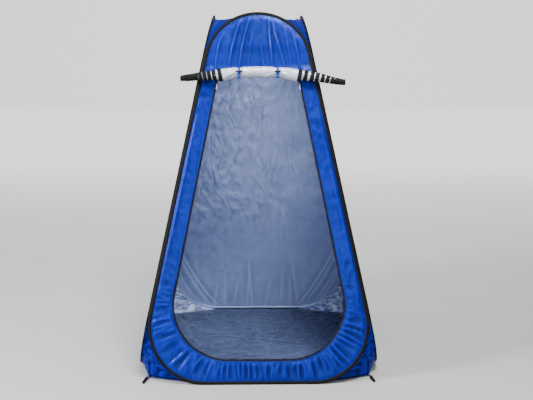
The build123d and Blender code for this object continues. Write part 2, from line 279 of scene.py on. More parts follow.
def make_object(name, points, faces, materials, uv=None, fold_shading_mask=None):
    """A smooth-shaded mesh object, with flat cloth coordinates in metres as its UV map.

    How far its folds stand out goes into an attribute, from which the cloth's colour paints shade into the
    hollows and highlights onto the crests.
    """
    mesh = bpy.data.meshes.new(name)
    faces = faces.tolist() if isinstance(faces, np.ndarray) else faces
    mesh.from_pydata(np.asarray(points).reshape(-1, 3).tolist(), [], faces)
    mesh.polygons.foreach_set("use_smooth", [True] * len(mesh.polygons))
    if uv is not None:
        corner = np.zeros(len(mesh.loops), int)
        mesh.loops.foreach_get("vertex_index", corner)
        layer = mesh.uv_layers.new(name="cloth")
        layer.data.foreach_set("uv", np.asarray(uv, np.float32).reshape(-1, 2)[corner].ravel())
    if fold_shading_mask is not None:
        layer = mesh.attributes.new("fold_shading_mask", "FLOAT", "POINT")
        layer.data.foreach_set("value", np.asarray(fold_shading_mask, np.float32).ravel())
    mesh.update()
    obj = add_object(name, mesh)
    for material in materials:
        mesh.materials.append(material)
    return obj


def thicken(obj, thickness, lining=False):
    """Gives cloth its thickness, towards its inner side, which may have its own material."""
    modifier = obj.modifiers.new("thickness", "SOLIDIFY")
    modifier.thickness = thickness
    modifier.offset = -1
    modifier.material_offset = 1 if lining else 0


def round_off(obj):
    """Rounds a coarse shape with one subdivision."""
    modifier = obj.modifiers.new("smoother", "SUBSURF")
    modifier.levels = modifier.render_levels = 1


def dress(piece, body, node=None):
    """A piece rides on a body, and may stand for a CAD node, which it hides."""
    if node:
        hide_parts(node)
    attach(piece, body)


# ------------------------------ materials


class Recipe:
    """A material and its shader, with nodes added one at a time."""

    def __init__(self, name, **shader_values):
        self.material = bpy.data.materials.new(name)
        self.material.use_nodes = True
        self.tree = self.material.node_tree
        self.shader = self.tree.nodes["Principled BSDF"]
        for socket, value in shader_values.items():
            self.shader.inputs[socket.replace("_", " ")].default_value = value

    def add(self, kind, inputs=(), **settings):
        """A node with its settings made and its inputs filled from values or other nodes' sockets."""
        node = self.tree.nodes.new(kind)
        for key, value in settings.items():
            setattr(node, key, value)
        for socket, value in dict(inputs).items():
            if isinstance(value, bpy.types.NodeSocket):
                self.tree.links.new(value, node.inputs[socket])
            else:
                node.inputs[socket].default_value = value
        return node

    def place(self, scale=(1, 1, 1), turn=0.0):
        """Cloth coordinates, scaled and turned."""
        source = self.add("ShaderNodeTexCoord").outputs["UV"]
        values = {"Vector": source, "Scale": scale, "Rotation": (0, 0, turn)}
        return self.add("ShaderNodeMapping", values).outputs["Vector"]

    def solid_place(self):
        """Coordinates fixed to the piece itself."""
        return self.add("ShaderNodeTexCoord").outputs["Object"]

    def fold_shading_mask(self):
        """How far the cloth's folds stand out, from -1 to 1, for painted shade in hollows and painted
        highlights on crests; cloth without folds has 0.
        """
        return self.add("ShaderNodeAttribute", attribute_name="fold_shading_mask").outputs["Fac"]

    def cloud(self, place, scale, detail=3.0, distortion=0.0):
        """Cloudy noise."""
        values = {"Vector": place, "Scale": scale, "Detail": detail, "Distortion": distortion}
        return self.add("ShaderNodeTexNoise", values).outputs["Fac"]

    def threads(self, place, pitch, direction):
        """Even rounded threads side by side, a pitch apart."""
        values = {"Vector": place, "Scale": 0.314 / pitch}
        settings = {"wave_type": "BANDS", "bands_direction": direction}
        return self.add("ShaderNodeTexWave", values, **settings).outputs["Fac"]

    def math(self, operation, a, b):
        """A sum, product or other result of two values."""
        return self.add("ShaderNodeMath", {0: a, 1: b}, operation=operation).outputs[0]

    def feed(self, socket, source):
        """Links a node's output to the shader."""
        self.tree.links.new(source, self.shader.inputs[socket])

    def vary(self, socket, factor, low, high, ends=(0.3, 0.7)):
        """Feeds the shader a colour or number that goes from low to high as factor goes from end to end."""
        node = self.add("ShaderNodeValToRGB", {"Fac": factor})
        for element, place, value in zip(node.color_ramp.elements, ends, (low, high)):
            element.position = place
            element.color = (*(value if isinstance(value, tuple) else (value,) * 3), 1)
        self.feed(socket, node.outputs["Color"])

    def bump(self, height, distance, strength, under=None):
        """A surface normal from a height, over another bump."""
        values = {"Height": height, "Distance": distance, "Strength": strength}
        if under is not None:
            values["Normal"] = under
        return self.add("ShaderNodeBump", values).outputs["Normal"]


def woven(recipe, pitch, depth, under=None):
    """A plain weave's bump: warp and weft threads a pitch apart."""
    place = recipe.place()
    warp = recipe.threads(place, pitch, "X")
    weft = recipe.threads(place, pitch, "Y")
    return recipe.bump(recipe.math("MAXIMUM", warp, weft), depth, 0.5, under)


def taffeta(name, deep, bright, roughness, specular, metallic=0.0, gloss=(1, 1, 1)):
    """Thin coated polyester: a fine weave, small creases, colour that clouds at random, and painted shade and
    highlights that follow the folds.
    """
    recipe = Recipe(name, Specular_IOR_Level=specular, Specular_Tint=(*gloss, 1), Metallic=metallic)
    clouds = recipe.cloud(recipe.place(), 3.0, 5.0, 0.6)
    # painted shading: the colour turns lighter on fold crests and darker in fold hollows, where light and
    # shade would fall
    painted_fold_shading = recipe.math("MULTIPLY", recipe.fold_shading_mask(), 0.38)
    shade = recipe.math("ADD", recipe.math("ADD", recipe.math("MULTIPLY", clouds, 0.6), 0.2), painted_fold_shading)
    recipe.vary("Base Color", shade, deep, bright, (0.12, 0.88))
    shine = recipe.cloud(recipe.place((1, 1, 1), 0.6), 14.0, 4.0, 1.2)
    recipe.vary("Roughness", shine, *roughness)
    creases = recipe.cloud(recipe.place((1, 0.55, 1), 0.5), 20.0, 4.0, 0.5)
    coarse = recipe.bump(creases, 0.0030, 0.6)
    recipe.feed("Normal", woven(recipe, 0.0007, 0.00004, coarse))
    return recipe.material


def binding_cloth():
    """Black polyester binding tape: a ribbed weave, a little puckered."""
    recipe = Recipe("black_binding", Specular_IOR_Level=0.10)
    place = recipe.place()
    clouds = recipe.cloud(place, 30.0, 4.0)
    recipe.vary("Base Color", clouds, 0.0012, 0.0045)
    recipe.vary("Roughness", clouds, 0.55, 0.75)
    pucker = recipe.bump(recipe.cloud(recipe.place((1, 0.3, 1)), 90.0, 2.0), 0.0012, 0.6)
    ribs = recipe.bump(recipe.threads(place, 0.0011, "X"), 0.00025, 0.6, pucker)
    recipe.feed("Normal", woven(recipe, 0.0006, 0.0001, ribs))
    return recipe.material


def webbing_cloth(name, deep, bright, pitch=0.0014):
    """Narrow webbing with a ribbed weave."""
    recipe = Recipe(name, Specular_IOR_Level=0.12)
    place = recipe.place()
    clouds = recipe.cloud(place, 60.0, 3.0)
    recipe.vary("Base Color", clouds, deep, bright)
    recipe.vary("Roughness", clouds, 0.55, 0.75)
    ribs = recipe.bump(recipe.threads(place, pitch, "Y"), 0.0003, 0.8)
    recipe.feed("Normal", woven(recipe, pitch / 2, 0.00015, ribs))
    return recipe.material


def hard_surface(name, deep, bright, roughness, metallic=0.0, grain=400.0, depth=0.00005, specular=0.5):
    """Metal or moulded plastic with fine grain and handling marks."""
    recipe = Recipe(name, Metallic=metallic, Specular_IOR_Level=specular)
    place = recipe.solid_place()
    marks = recipe.cloud(place, 90.0, 5.0, 0.8)
    recipe.vary("Base Color", marks, deep, bright)
    recipe.vary("Roughness", marks, *roughness, (0.25, 0.75))
    recipe.feed("Normal", recipe.bump(recipe.cloud(place, grain, 3.0), depth, 0.6))
    return recipe.material


# Ends of the cloth colour ramps: along each ramp the colour clouds at random and takes painted shade and
# highlights from the folds.
BLUE_DEEP = (0.0003, 0.0010, 0.056)
BLUE_BRIGHT = (0.0024, 0.0098, 0.250)
ROOF_BLUE = (0.0006, 0.0034, 0.100)
BLUE_GLOSS = (0.22, 0.40, 1.0)

blue_out = taffeta("blue_taffeta", BLUE_DEEP, BLUE_BRIGHT, (0.34, 0.46), 0.36, 0.0, BLUE_GLOSS)
blue_roof = taffeta("blue_roof_taffeta", ROOF_BLUE, ROOF_BLUE, (0.55, 0.70), 0.12, 0.0, BLUE_GLOSS)
blue_slack = taffeta("blue_slack_taffeta", BLUE_DEEP, BLUE_BRIGHT, (0.55, 0.68), 0.10, 0.0, BLUE_GLOSS)
# The silver coating's colour is partly its own and partly painted light: its blue cast stands in for light
# coming through the blue walls.
silver_in = taffeta("silver_coating", (0.175, 0.235, 0.460), (0.440, 0.540, 0.880), (0.28, 0.40), 0.3, 0.25)
# A lit copy of the silver coating for the gussets: its brighter top colour paints highlights onto their
# crinkles.
gusset_silver_painted_highlights = taffeta("gusset_silver_painted_highlights", (0.150, 0.200, 0.380), (0.700, 0.800, 1.000), (0.22, 0.34), 0.5, 0.3)
floor_cloth = taffeta("slate_floor", (0.020, 0.029, 0.064), (0.078, 0.104, 0.190), (0.24, 0.38), 0.3)
flap_silver = taffeta("flap_silver", (0.32, 0.35, 0.43), (0.40, 0.43, 0.51), (0.30, 0.44), 0.3, 0.2)
black_binding = binding_cloth()
black_tape = webbing_cloth("black_zip_tape", 0.0015, 0.0050, 0.0010)
black_webbing = webbing_cloth("black_webbing", 0.002, 0.007)
blue_webbing = webbing_cloth("blue_tie_tape", (0.006, 0.030, 0.22), (0.010, 0.048, 0.32), 0.0012)
STEEL_DARK, STEEL_BRIGHT = (0.42, 0.42, 0.44), (0.56, 0.56, 0.58)
spring_steel = hard_surface("spring_steel", STEEL_DARK, STEEL_BRIGHT, (0.22, 0.40), 1.0, 900.0, 0.00003)
crimped_steel = hard_surface("crimped_steel", (0.34, 0.34, 0.35), (0.50, 0.50, 0.51), (0.30, 0.55), 1.0)
slider_metal = hard_surface("slider_metal", (0.05, 0.05, 0.055), (0.11, 0.11, 0.12), (0.28, 0.45), 0.8)
zip_nylon = hard_surface("zip_nylon", 0.003, 0.008, (0.35, 0.50), specular=0.15)
toggle_plastic = hard_surface("toggle_plastic", 0.003, 0.008, (0.32, 0.50), specular=0.25)
thread_black = hard_surface("black_thread", 0.006, 0.014, (0.5, 0.7), specular=0.15)
THREAD_DEEP, THREAD_BRIGHT = (0.004, 0.020, 0.16), (0.007, 0.032, 0.22)
thread_blue = hard_surface("blue_thread", THREAD_DEEP, THREAD_BRIGHT, (0.4, 0.6), specular=0.2)
pull_plastic = hard_surface("pull_plastic", (0.40, 0.41, 0.44), (0.52, 0.53, 0.55), (0.35, 0.50))

# ------------------------------ outlines in a wall's plane

FOOT_STEPS, CORNER_STEPS, SIDE_STEPS, TOP_STEPS = 70, 130, 220, 90


def corner_middle(half, lean, radius):
    """How far out a rounded lower corner's centre is, where the side would meet the foot at half."""
    return half - radius / math.tan((math.pi / 2 - lean) / 2)


def half_loop(foot_v, half, lean, radius, top):
    """The right half of a rounded outline, from the middle of its foot to the middle of its top.

    half is where the side would meet the foot, lean the side's angle, top the points of the last run.
    """
    centre = (corner_middle(half, lean, radius), foot_v + radius)
    foot = line((0, foot_v), (centre[0], foot_v), FOOT_STEPS)
    corner = arc(centre, radius, -math.pi / 2, lean, CORNER_STEPS)
    side = line(corner[-1], top[0], SIDE_STEPS)
    return np.concatenate([foot[:-1], corner[:-1], side[:-1], top])


def whole_loop(half):
    """A closed anticlockwise loop from its right half."""
    return np.concatenate([half, half[-2:0:-1] * (-1, 1)])


def hoop_foot(inset):
    """Where a hoop's side, moved inward by inset, would meet its foot."""
    return HOOP_BASE_HALF - inset / math.cos(SIDE_ANGLE) - inset * SIN_TILT


def hoop_half(inset):
    """The right half of a hoop's outline, moved inward by inset."""
    top_centre = (0, HOOP_TOP_V - HOOP_TOP_RADIUS)
    top = arc(top_centre, HOOP_TOP_RADIUS - inset, SIDE_ANGLE, math.pi / 2, TOP_STEPS)
    return half_loop(inset, hoop_foot(inset), SIDE_ANGLE, HOOP_CORNER_RADIUS - inset, top)


def door_width(v, inset=0.0):
    """Half the doorway's width at height v."""
    return DOOR_BASE_HALF - DOOR_SIDE_SLOPE * v - inset / math.cos(DOOR_SIDE_ANGLE)


def door_outline(inset=0.0):
    """The right half of the doorway's outline, moved inward at its side and foot by inset."""
    foot_v = DOOR_BOTTOM + inset
    half, radius = door_width(foot_v, inset), DOOR_CORNER_RADIUS - inset
    top = line((door_width(DOOR_TOP, inset), DOOR_TOP), (0, DOOR_TOP), TOP_STEPS)
    return half_loop(foot_v, half, DOOR_SIDE_ANGLE, radius, top)


def loop_frame(loop):
    """A closed loop's distance along itself, unit tangents and inward normals at its points."""
    ahead = np.roll(loop, -1, 0) - loop
    length = np.concatenate([[0], np.cumsum(np.hypot(*ahead.T))[:-1]])
    tangent = unit(np.roll(loop, -1, 0) - np.roll(loop, 1, 0))
    return length, tangent, joined(-tangent[:, 1], tangent[:, 0])


def from_edge(u, v, loop):
    """How far places lie inside a loop, and where along the loop each is nearest."""
    length, tangent, _ = loop_frame(loop)
    nearest = np.zeros(u.shape, int)
    least = np.full(u.shape, np.inf)
    for i in range(0, len(loop), 2):
        distance = (u - loop[i, 0]) ** 2 + (v - loop[i, 1]) ** 2
        closer = distance < least
        nearest[closer], least[closer] = i, distance[closer]
    gap = joined(u, v) - loop[nearest]
    along = length[nearest] + np.sum(gap * tangent[nearest], -1)
    return np.sqrt(least), along


def edge_puckers(depth, along, seed, height=0.0016, size=0.045, reach=0.09):
    """Short folds that run straight in from a sewn edge and die away."""
    wave = noise(along / size + 1.5 * noise(along / 0.4, 0, seed + 1), depth / 0.25, seed)
    return height * wave * np.exp(-depth / reach) * smooth(0, 0.02, depth)


# ------------------------------ walls

CLOTH_THICKNESS = 0.0008
CLOTH_N = SLEEVE_MIDDLE_N + CLOTH_THICKNESS / 2  # the outer face of a flat panel
CLOTH_LOW_N, CLOTH_HIGH_N = 0.0018, 0.018  # how far a panel's wrinkles may reach
PANEL_INSET = 0.0110  # the cloth's edge, hidden under the binding
WALL_ROWS, WALL_COLUMNS = 300, 149


def bounded(n):
    """Keeps wrinkles clear of the walls that fold against this one, softly."""
    middle, half = (CLOTH_LOW_N + CLOTH_HIGH_N) / 2, (CLOTH_HIGH_N - CLOTH_LOW_N) / 2
    return middle + half * np.tanh((n - middle) / half)


def plain_wall_wrinkles(u, v, creasing, seed):
    """Wrinkles of a wall with no doorway, with pulls across its lower corners and folds at its foot."""
    creased = 0.35 + 0.65 * smooth(-0.25, 0.35, u + 0.25 * noise(u / 0.4, v / 0.5, seed + 2))
    creased *= creasing * (0.35 + 0.65 * smooth(0.45, 0.95, v))
    total = 0.0056 * creased * crumple(u, v * 0.8, 0.17, seed, 4)
    total += 0.0022 * creased * crumple(u * 1.2, v * 0.9, 0.07, seed + 11)
    total += 0.0035 * noise(u / 0.45, v / 0.6, seed + 5)
    raised, sunken = crease_net(u, v, 0.18, seed + 60), crease_net(u, v, 0.13, seed + 70)
    total += creased * (0.0016 * raised - 0.0018 * sunken)
    random = np.random.default_rng(seed + 40)
    for side in (-1, 1):
        for share in np.linspace(0, 1, 6):
            start = (side * (0.575 - 0.03 * share), 0.26 + 0.30 * share + random.uniform(-0.01, 0.01))
            end = (side * (0.43 - 0.20 * share + random.uniform(-0.01, 0.01)), -0.02)
            height, width = random.uniform(0.0045, 0.0085), random.uniform(0.010, 0.017)
            total += pull_fold(u, v, start, end, height, width, side * random.uniform(0.02, 0.05))
        high = np.array([side * 0.27, 1.80])
        angles = (200, 262) if side > 0 else (340, 278)
        total += fan(u, v, high, angles, (0.05, 0.40), 4, 0.0022, 0.010, seed + 30 + side)
    for foot in np.linspace(-0.27, 0.30, 9):
        start = (foot + random.uniform(-0.03, 0.03), -0.02)
        end = (start[0] * 0.9 + random.uniform(-0.05, 0.05), random.uniform(0.10, 0.42))
        total += pull_fold(u, v, start, end, random.uniform(0.002, 0.006), 0.010)
    for _ in range(16):
        start = (random.uniform(-0.25, 0.35), random.uniform(0.75, 1.70))
        end = (start[0] + random.uniform(-0.07, 0.07), start[1] - random.uniform(0.12, 0.40))
        bend = random.uniform(-0.02, 0.02)
        total += pull_fold(u, v, start, end, random.uniform(0.002, 0.005), 0.007, bend)
    for _ in range(22):
        start = (random.uniform(-0.38, 0.38), random.uniform(0.50, 1.65))
        way = math.radians(random.uniform(20, 160))
        length = random.uniform(0.05, 0.14)
        end = (start[0] + length * math.cos(way), start[1] + length * math.sin(way))
        total += pull_fold(u, v, start, end, random.uniform(0.0015, 0.0035), 0.006)
    return total


def plain_wall(wall, creasing, seed):
    """One side or back wall: a single sheet, sewn into its binding all round."""
    half = hoop_half(PANEL_INSET)
    loop = whole_loop(half)
    foot_v, top_v = half[0, 1], half[-1, 1]
    share = np.linspace(0, 1, WALL_ROWS)
    share = share - 0.6 * np.sin(2 * math.pi * share) / (2 * math.pi)  # rows lie closer near foot and top
    row_v = foot_v + (top_v - foot_v) * share
    width = np.interp(row_v, half[FOOT_STEPS:, 1], half[FOOT_STEPS:, 0])
    u, v = np.broadcast_arrays(width[:, None] * np.linspace(-1, 1, WALL_COLUMNS), row_v[:, None])
    depth, along = from_edge(u, v, loop)
    wrinkles = plain_wall_wrinkles(u, v, creasing, seed) * smooth(0, 0.045, depth)
    wrinkles += edge_puckers(depth, along, seed + 3, 0.0024)
    n = bounded(CLOTH_N + 0.0040 * smooth(0, 0.15, depth) + wrinkles)
    faces = grid_faces(WALL_ROWS, WALL_COLUMNS)
    # painted shading for this wall's colour: lighter on crests, darker in hollows
    points, fold_shading_mask = wall_xyz(u, v, n, wall), local_relief(n, (6, 5), 0.0032)
    sheet = make_object(f"{wall}_wall", points, faces, [blue_out, silver_in], joined(u, v), fold_shading_mask)
    thicken(sheet, CLOTH_THICKNESS, lining=True)
    dress(sheet, wall, f"{wall}_panel")


FRONT_RINGS = 42


def front_wall_wrinkles(u, v, depth, zip_depth, zip_along):
    """Wrinkles of the front wall, by the distance in from the hoop and out from the doorway."""
    total = 0.0032 * crumple(u, v * 0.7, 0.11, 301) + 0.0014 * crumple(u * 1.5, v * 0.7, 0.05, 311)
    total *= 1 - 0.6 * smooth(1.60, 1.68, v)
    top_folds = [
        ((-0.225, 1.60), (-0.180, 1.84), 0.0080, 0.007, 0.012),
        ((-0.160, 1.60), (-0.085, 1.92), 0.0110, 0.008, 0.010),
        ((-0.105, 1.60), (-0.040, 1.93), 0.0095, 0.007, 0.008),
        ((-0.060, 1.60), (-0.030, 1.84), 0.0050, 0.006, 0.002),
        ((0.035, 1.58), (0.010, 1.78), 0.0070, 0.006, -0.003),
        ((0.078, 1.58), (0.050, 1.94), 0.0100, 0.007, -0.004),
        ((0.155, 1.58), (0.060, 1.92), 0.0110, 0.007, -0.006),
        ((0.175, 1.60), (0.130, 1.88), 0.0060, 0.008, -0.008),
        ((0.220, 1.60), (0.170, 1.86), 0.0080, 0.008, -0.012),
    ]
    for fold in top_folds:
        total += pull_fold(u, v, *fold)
    random = np.random.default_rng(340)
    for side in (-1, 1):
        total += pull_fold(u, v, (side * 0.545, 0.36), (side * 0.300, 1.50), 0.0120, 0.018, 0.004 * side)
        for low in np.linspace(0.40, 1.25, 6):
            start = (side * (0.555 - 0.205 * low + random.uniform(-0.03, 0.0)), low)
            high = low + random.uniform(0.20, 0.42)
            end = (side * (0.555 - 0.205 * high + random.uniform(-0.05, -0.02)), high)
            total += pull_fold(u, v, start, end, random.uniform(0.004, 0.009), 0.008)
    share = np.clip(zip_depth / (zip_depth + depth + 1e-6), 0, 1)
    low_down = smooth(0.60, 0.36, v)
    phase = zip_along / 0.028 + 1.2 * noise(zip_along / 0.3, 0.5, 351)
    pleat = 1 - 2.6 * np.sqrt(noise(phase, share * 0.8, 350) ** 2 + 0.002)
    strength = 0.65 + 0.35 * noise(zip_along / 0.12, 0, 352)
    total += 0.0095 * low_down * strength * pleat * np.sin(math.pi * share**0.8)
    return total * smooth(0, 0.02, depth)


def front_wall():
    """The front wall, cut away at the doorway, as rings from the doorway out to the hoop."""
    inner, outer = whole_loop(door_outline()), whole_loop(hoop_half(PANEL_INSET))
    share = np.linspace(0, 1, FRONT_RINGS)[:, None, None]
    rings = inner[None] * (1 - share) + outer[None] * share
    u, v = rings[..., 0], rings[..., 1]
    depth, along = from_edge(u, v, outer)
    zip_depth, zip_along = from_edge(u, v, inner)
    wrinkles = front_wall_wrinkles(u, v, depth, zip_depth, zip_along) * smooth(0, 0.015, zip_depth)
    wrinkles += edge_puckers(depth, along, 320, 0.0018, 0.040, 0.05)
    wrinkles += edge_puckers(zip_depth, zip_along, 325, 0.0014, 0.035, 0.04)
    behind_lifted_roll = smooth(1.63, 1.67, v) * smooth(1.78, 1.72, v)
    wrinkles -= 0.007 * behind_lifted_roll
    n = bounded(CLOTH_N + 0.0036 * smooth(0, 0.03, np.minimum(depth, zip_depth)) + wrinkles)
    faces = grid_faces(FRONT_RINGS, len(inner), wrap_columns=True)[:, ::-1]
    # painted shading for the front wall's colour: lighter on crests, darker in hollows
    points, fold_shading_mask = wall_xyz(u, v, n), local_relief(n, (3, 5), 0.0018)
    sheet = make_object("front_wall", points, faces, [blue_out, silver_in], joined(u, v), fold_shading_mask)
    thicken(sheet, CLOTH_THICKNESS, lining=True)
    dress(sheet, "front", "front_panel")


front_wall()
for wall, creasing, seed in (("right", 0.55, 100), ("back", 1.0, 200), ("left", 0.55, 400)):
    plain_wall(wall, creasing, seed)

# ------------------------------ bindings and corner seams

BINDING_PROFILE = np.array([
    (0.0184, 0.0049), (0.0162, 0.0056), (0.0146, 0.0066), (0.0125, 0.0078), (0.0090, 0.0083),
    (0.0052, 0.0082), (0.0020, 0.0073), (0.0000, 0.0056), (-0.0004, 0.0040), (0.0000, 0.0024),
    (0.0020, 0.0008), (0.0052, 0.0002), (0.0090, 0.0002), (0.0125, 0.0004), (0.0146, 0.0015),
    (0.0162, 0.0025), (0.0184, 0.0031),
])  # (inset, n) round the tape, from its outer inside edge round the wire to its inner inside edge
SLEEVE_TURN = 0.0045  # how much narrower it is up the sides, where the seam turns it outward
STITCH_INSETS = (0.0170, 0.0154)
STITCH_PITCH = 0.0042
STITCH_LENGTH = 0.0030
STITCH_RADIUS = 0.00035


def along_loop(loop, inset, n, wall):
    """A line that follows a loop at an inset and a layer."""
    _, _, inward = loop_frame(loop)
    place = loop + inward * np.reshape(inset, (-1, 1))
    return wall_xyz(place[:, 0], place[:, 1], n, wall)


def sides_only(v):
    """1 up a hoop's straight sides, 0 at its foot and its arch."""
    return smooth(0.30, 0.60, v) * smooth(1.60, 1.35, v)


def binding(wall, seed):
    """The tape sewn over the hoop wire, a little puckered by its stitching."""
    loop = whole_loop(hoop_half(0))
    length, _, _ = loop_frame(loop)
    inset, n = BINDING_PROFILE.T
    pucker = noise(length / 0.016, 0, seed) + 0.6 * noise(length / 0.055, 4, seed + 1)
    at_edge = smooth(0.008, 0.018, inset)[:, None]
    insets = inset[:, None] + (0.0005 * pucker - SLEEVE_TURN * sides_only(loop[:, 1]))[None, :] * at_edge
    rounded = smooth(0.018, 0.010, inset)[:, None] * 0.0004 * noise(length / 0.03, 9, seed + 2)
    layers = n[:, None] + rounded * np.sign(n - SLEEVE_MIDDLE_N)[:, None]
    layers = np.maximum(layers, 0.0001)
    points = np.stack([along_loop(loop, insets[i], layers[i], wall) for i in range(len(inset))])
    faces = grid_faces(len(inset), len(loop), wrap_rows=True, wrap_columns=True)[:, ::-1]
    uv = joined(length[None, :], distance_along(BINDING_PROFILE)[:, None])
    band = make_object(f"{wall}_binding", points, faces, [black_binding, silver_in], uv)
    inside = (n < SLEEVE_MIDDLE_N) & (inset > GUSSET_INSET)
    below_roof = loop[:, 1] * COS_TILT < ROOF_CORNER_Z
    lined = (inside & np.roll(inside, -1))[:, None] & below_roof[None, :]
    band.data.polygons.foreach_set("material_index", lined.astype(np.int32).ravel())
    dress(band, wall, f"{wall}_sleeve")


def ring_shape(rings, sides, turn=0.0):
    """A small closed shape along X from rings of (place, across, out) half sizes, as points and faces."""
    angle = np.linspace(0, 2 * math.pi, sides, endpoint=False) + turn
    points = [(x, across * math.cos(a), out * math.sin(a)) for x, across, out in rings for a in angle]
    return np.array(points), grid_faces(len(rings), sides, wrap_columns=True)


def repeat_along(name, path, wall, pitch, shape, material):
    """Copies of a small shape at even steps along a line; its X runs along, its Z out of the wall."""
    shape_points, shape_faces = shape
    reach = distance_along(path)
    places = (np.arange(int(reach[-1] / pitch)) + 0.5) * pitch

    def at(distances):
        return np.stack([np.interp(distances, reach, path[:, k]) for k in range(3)], -1)

    along = unit(at(places + pitch / 4) - at(places - pitch / 4))
    across = unit(np.cross(wall_normal(wall), along))
    axes = np.stack([along, across, np.cross(along, across)], 1)
    points = at(places)[:, None] + np.einsum("kc,icx->ikx", shape_points, axes)
    starts = np.arange(len(places))[:, None, None] * len(shape_points)
    faces = (shape_faces[None] + starts).reshape(-1, shape_faces.shape[1])
    return make_object(name, points, faces, [material])


STITCH_SHAPE = ring_shape(
    [
        (share * STITCH_LENGTH, across * STITCH_RADIUS, out * STITCH_RADIUS)
        for share, across, out in ((-0.50, 0.4, 0.2), (-0.25, 1, 1), (0.25, 1, 1), (0.50, 0.4, 0.2))
    ],
    4,
    math.pi / 4,
)


def stitch_row(name, path, wall, thread):
    """A row of stitches along a line on a wall."""
    dress(repeat_along(name, path, wall, STITCH_PITCH, STITCH_SHAPE, thread), wall)


def binding_stitches(wall):
    """Two rows of stitching along a binding's inside edge, on its outer face."""
    loop = whole_loop(hoop_half(0))
    for row, inset in enumerate(STITCH_INSETS):
        layer = np.interp(inset, BINDING_PROFILE[3::-1, 0], BINDING_PROFILE[3::-1, 1])
        path = along_loop(loop, inset - SLEEVE_TURN * 0.9 * sides_only(loop[:, 1]), layer, wall)
        path = np.concatenate([path, path[:1]])
        stitch_row(f"{wall}_binding_stitches_{row + 1}", path, wall, thread_black)


CORNERS = {
    "front_right": ("front", "right"),
    "back_right": ("right", "back"),
    "back_left": ("back", "left"),
    "front_left": ("left", "front"),
}  # each corner's two walls, anticlockwise seen from above
OPEN_CORNER = "back_left"
SEAM_STRIP_ROWS, SEAM_STRIP_POINTS = 7, 260
SEAM_STRIP_N = 0.0042
SEAM_OVERLAP = 0.0016  # how far the strip reaches onto each binding
SEAM_OVERRUN = 0.012  # how far it runs on past the straight sides


def floor_corner(x_sign, y_sign, z=0.0):
    """One of the floor's corners, which the signs of its x and y choose."""
    return np.array([x_sign * FLOOR_CORNER[0], y_sign * FLOOR_CORNER[1], z])


def corner_seam(corner, seed):
    """The narrow strip that sews two hoops' bindings together up a corner."""
    first, second = CORNERS[corner]
    half = hoop_half(0)
    low, high = FOOT_STEPS + CORNER_STEPS, FOOT_STEPS + CORNER_STEPS + SIDE_STEPS
    v = np.linspace(half[low, 1] - SEAM_OVERRUN, half[high, 1] + SEAM_OVERRUN, SEAM_STRIP_POINTS)
    edge_u = np.interp(v, half[FOOT_STEPS:, 1], half[FOOT_STEPS:, 0])
    a = wall_xyz(edge_u - SEAM_OVERLAP, v, SEAM_STRIP_N, first)
    b = wall_xyz(-edge_u + SEAM_OVERLAP, v, SEAM_STRIP_N, second)
    way = unit(wall_normal(first) + wall_normal(second))
    rise = 0.0012 + 0.0003 * noise(v / 0.02, 0, seed)
    rows = []
    for share in np.linspace(0, 1, SEAM_STRIP_ROWS):
        dome = 4 * share * (1 - share)
        rows.append(a * (1 - share) + b * share + way * (dome * rise)[:, None])
    uv = joined(v[None, :], np.linspace(0, 0.008, SEAM_STRIP_ROWS)[:, None])
    faces = grid_faces(SEAM_STRIP_ROWS, len(v))[:, ::-1]
    strip = make_object(f"{corner}_seam", np.stack(rows), faces, [black_binding], uv)
    thicken(strip, CLOTH_THICKNESS)
    if corner == OPEN_CORNER:
        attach(strip, "left")
    else:
        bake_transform(strip)


for seed, wall in enumerate(WALLS):
    binding(wall, 500 + 10 * seed)
    binding_stitches(wall)
for seed, corner in enumerate(CORNERS):
    corner_seam(corner, 560 + seed)

# ------------------------------ roof

ROOF_CELLS = 96
ROOF_SAG = 0.035
ROOF_GAP = -0.0010  # the cloth's edge, tucked just inside the bindings


def fold_onto_front(sheet):
    """Gives a sheet between the walls a mesh of its own."""
    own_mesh(sheet)


def wall_distance(z, n):
    """How far a wall's layer n is from the tent's middle at height z."""
    return WALL_BASE_HALF + n / COS_TILT - z * math.tan(TILT)


def roof_drop(share, top):
    """How far the roof's edge, which follows a hoop's arch, lies below its top."""
    half = wall_distance(ROOF_CORNER_Z, ROOF_GAP)
    rise = (top - ROOF_CORNER_Z) / COS_TILT
    radius = (half**2 + rise**2) / (2 * rise)
    z = np.full_like(share, top)
    for _ in range(20):
        u = share * wall_distance(z, ROOF_GAP)
        z = top - (radius - np.sqrt(radius**2 - u**2)) * COS_TILT
    return top - z


def roof():
    """The roof: a saddle between the four arches, creased towards its four corners."""
    top = TENT_HEIGHT - ROOF_EDGE_DROP
    steps = np.linspace(-1, 1, ROOF_CELLS + 1)
    p, q = np.meshgrid(steps, steps)
    full = roof_drop(np.array([1.0]), top)[0]
    z = top - roof_drop(np.abs(q), top) * p**2 - roof_drop(np.abs(p), top) * q**2 + full * (p * q) ** 2
    z = z - ROOF_SAG * (1 - p**2) * (1 - q**2)
    reach = wall_distance(z, ROOF_GAP)
    x, y = p * reach, q * reach
    inner = smooth(1.0, 0.86, np.maximum(np.abs(p), np.abs(q)))
    wrinkles = 0.0060 * crumple(x, y, 0.13, 601) + 0.0025 * crumple(x, y, 0.05, 605) - 0.004
    wrinkles += corner_fans(x, y, (0.27, 0.27), 40, (0.01, 0.26), 0.008, 0.009, 610)
    z = z + wrinkles * inner
    uv = joined(p * reach, q * (reach + 0.3 * (top - z)))
    sheet = make_object("roof", joined(x, y, z), grid_faces(*x.shape), [blue_roof, silver_in], uv)
    thicken(sheet, CLOTH_THICKNESS, lining=True)
    dress(sheet, "front", "roof_panel")
    fold_onto_front(sheet)


roof()

# ------------------------------ floor

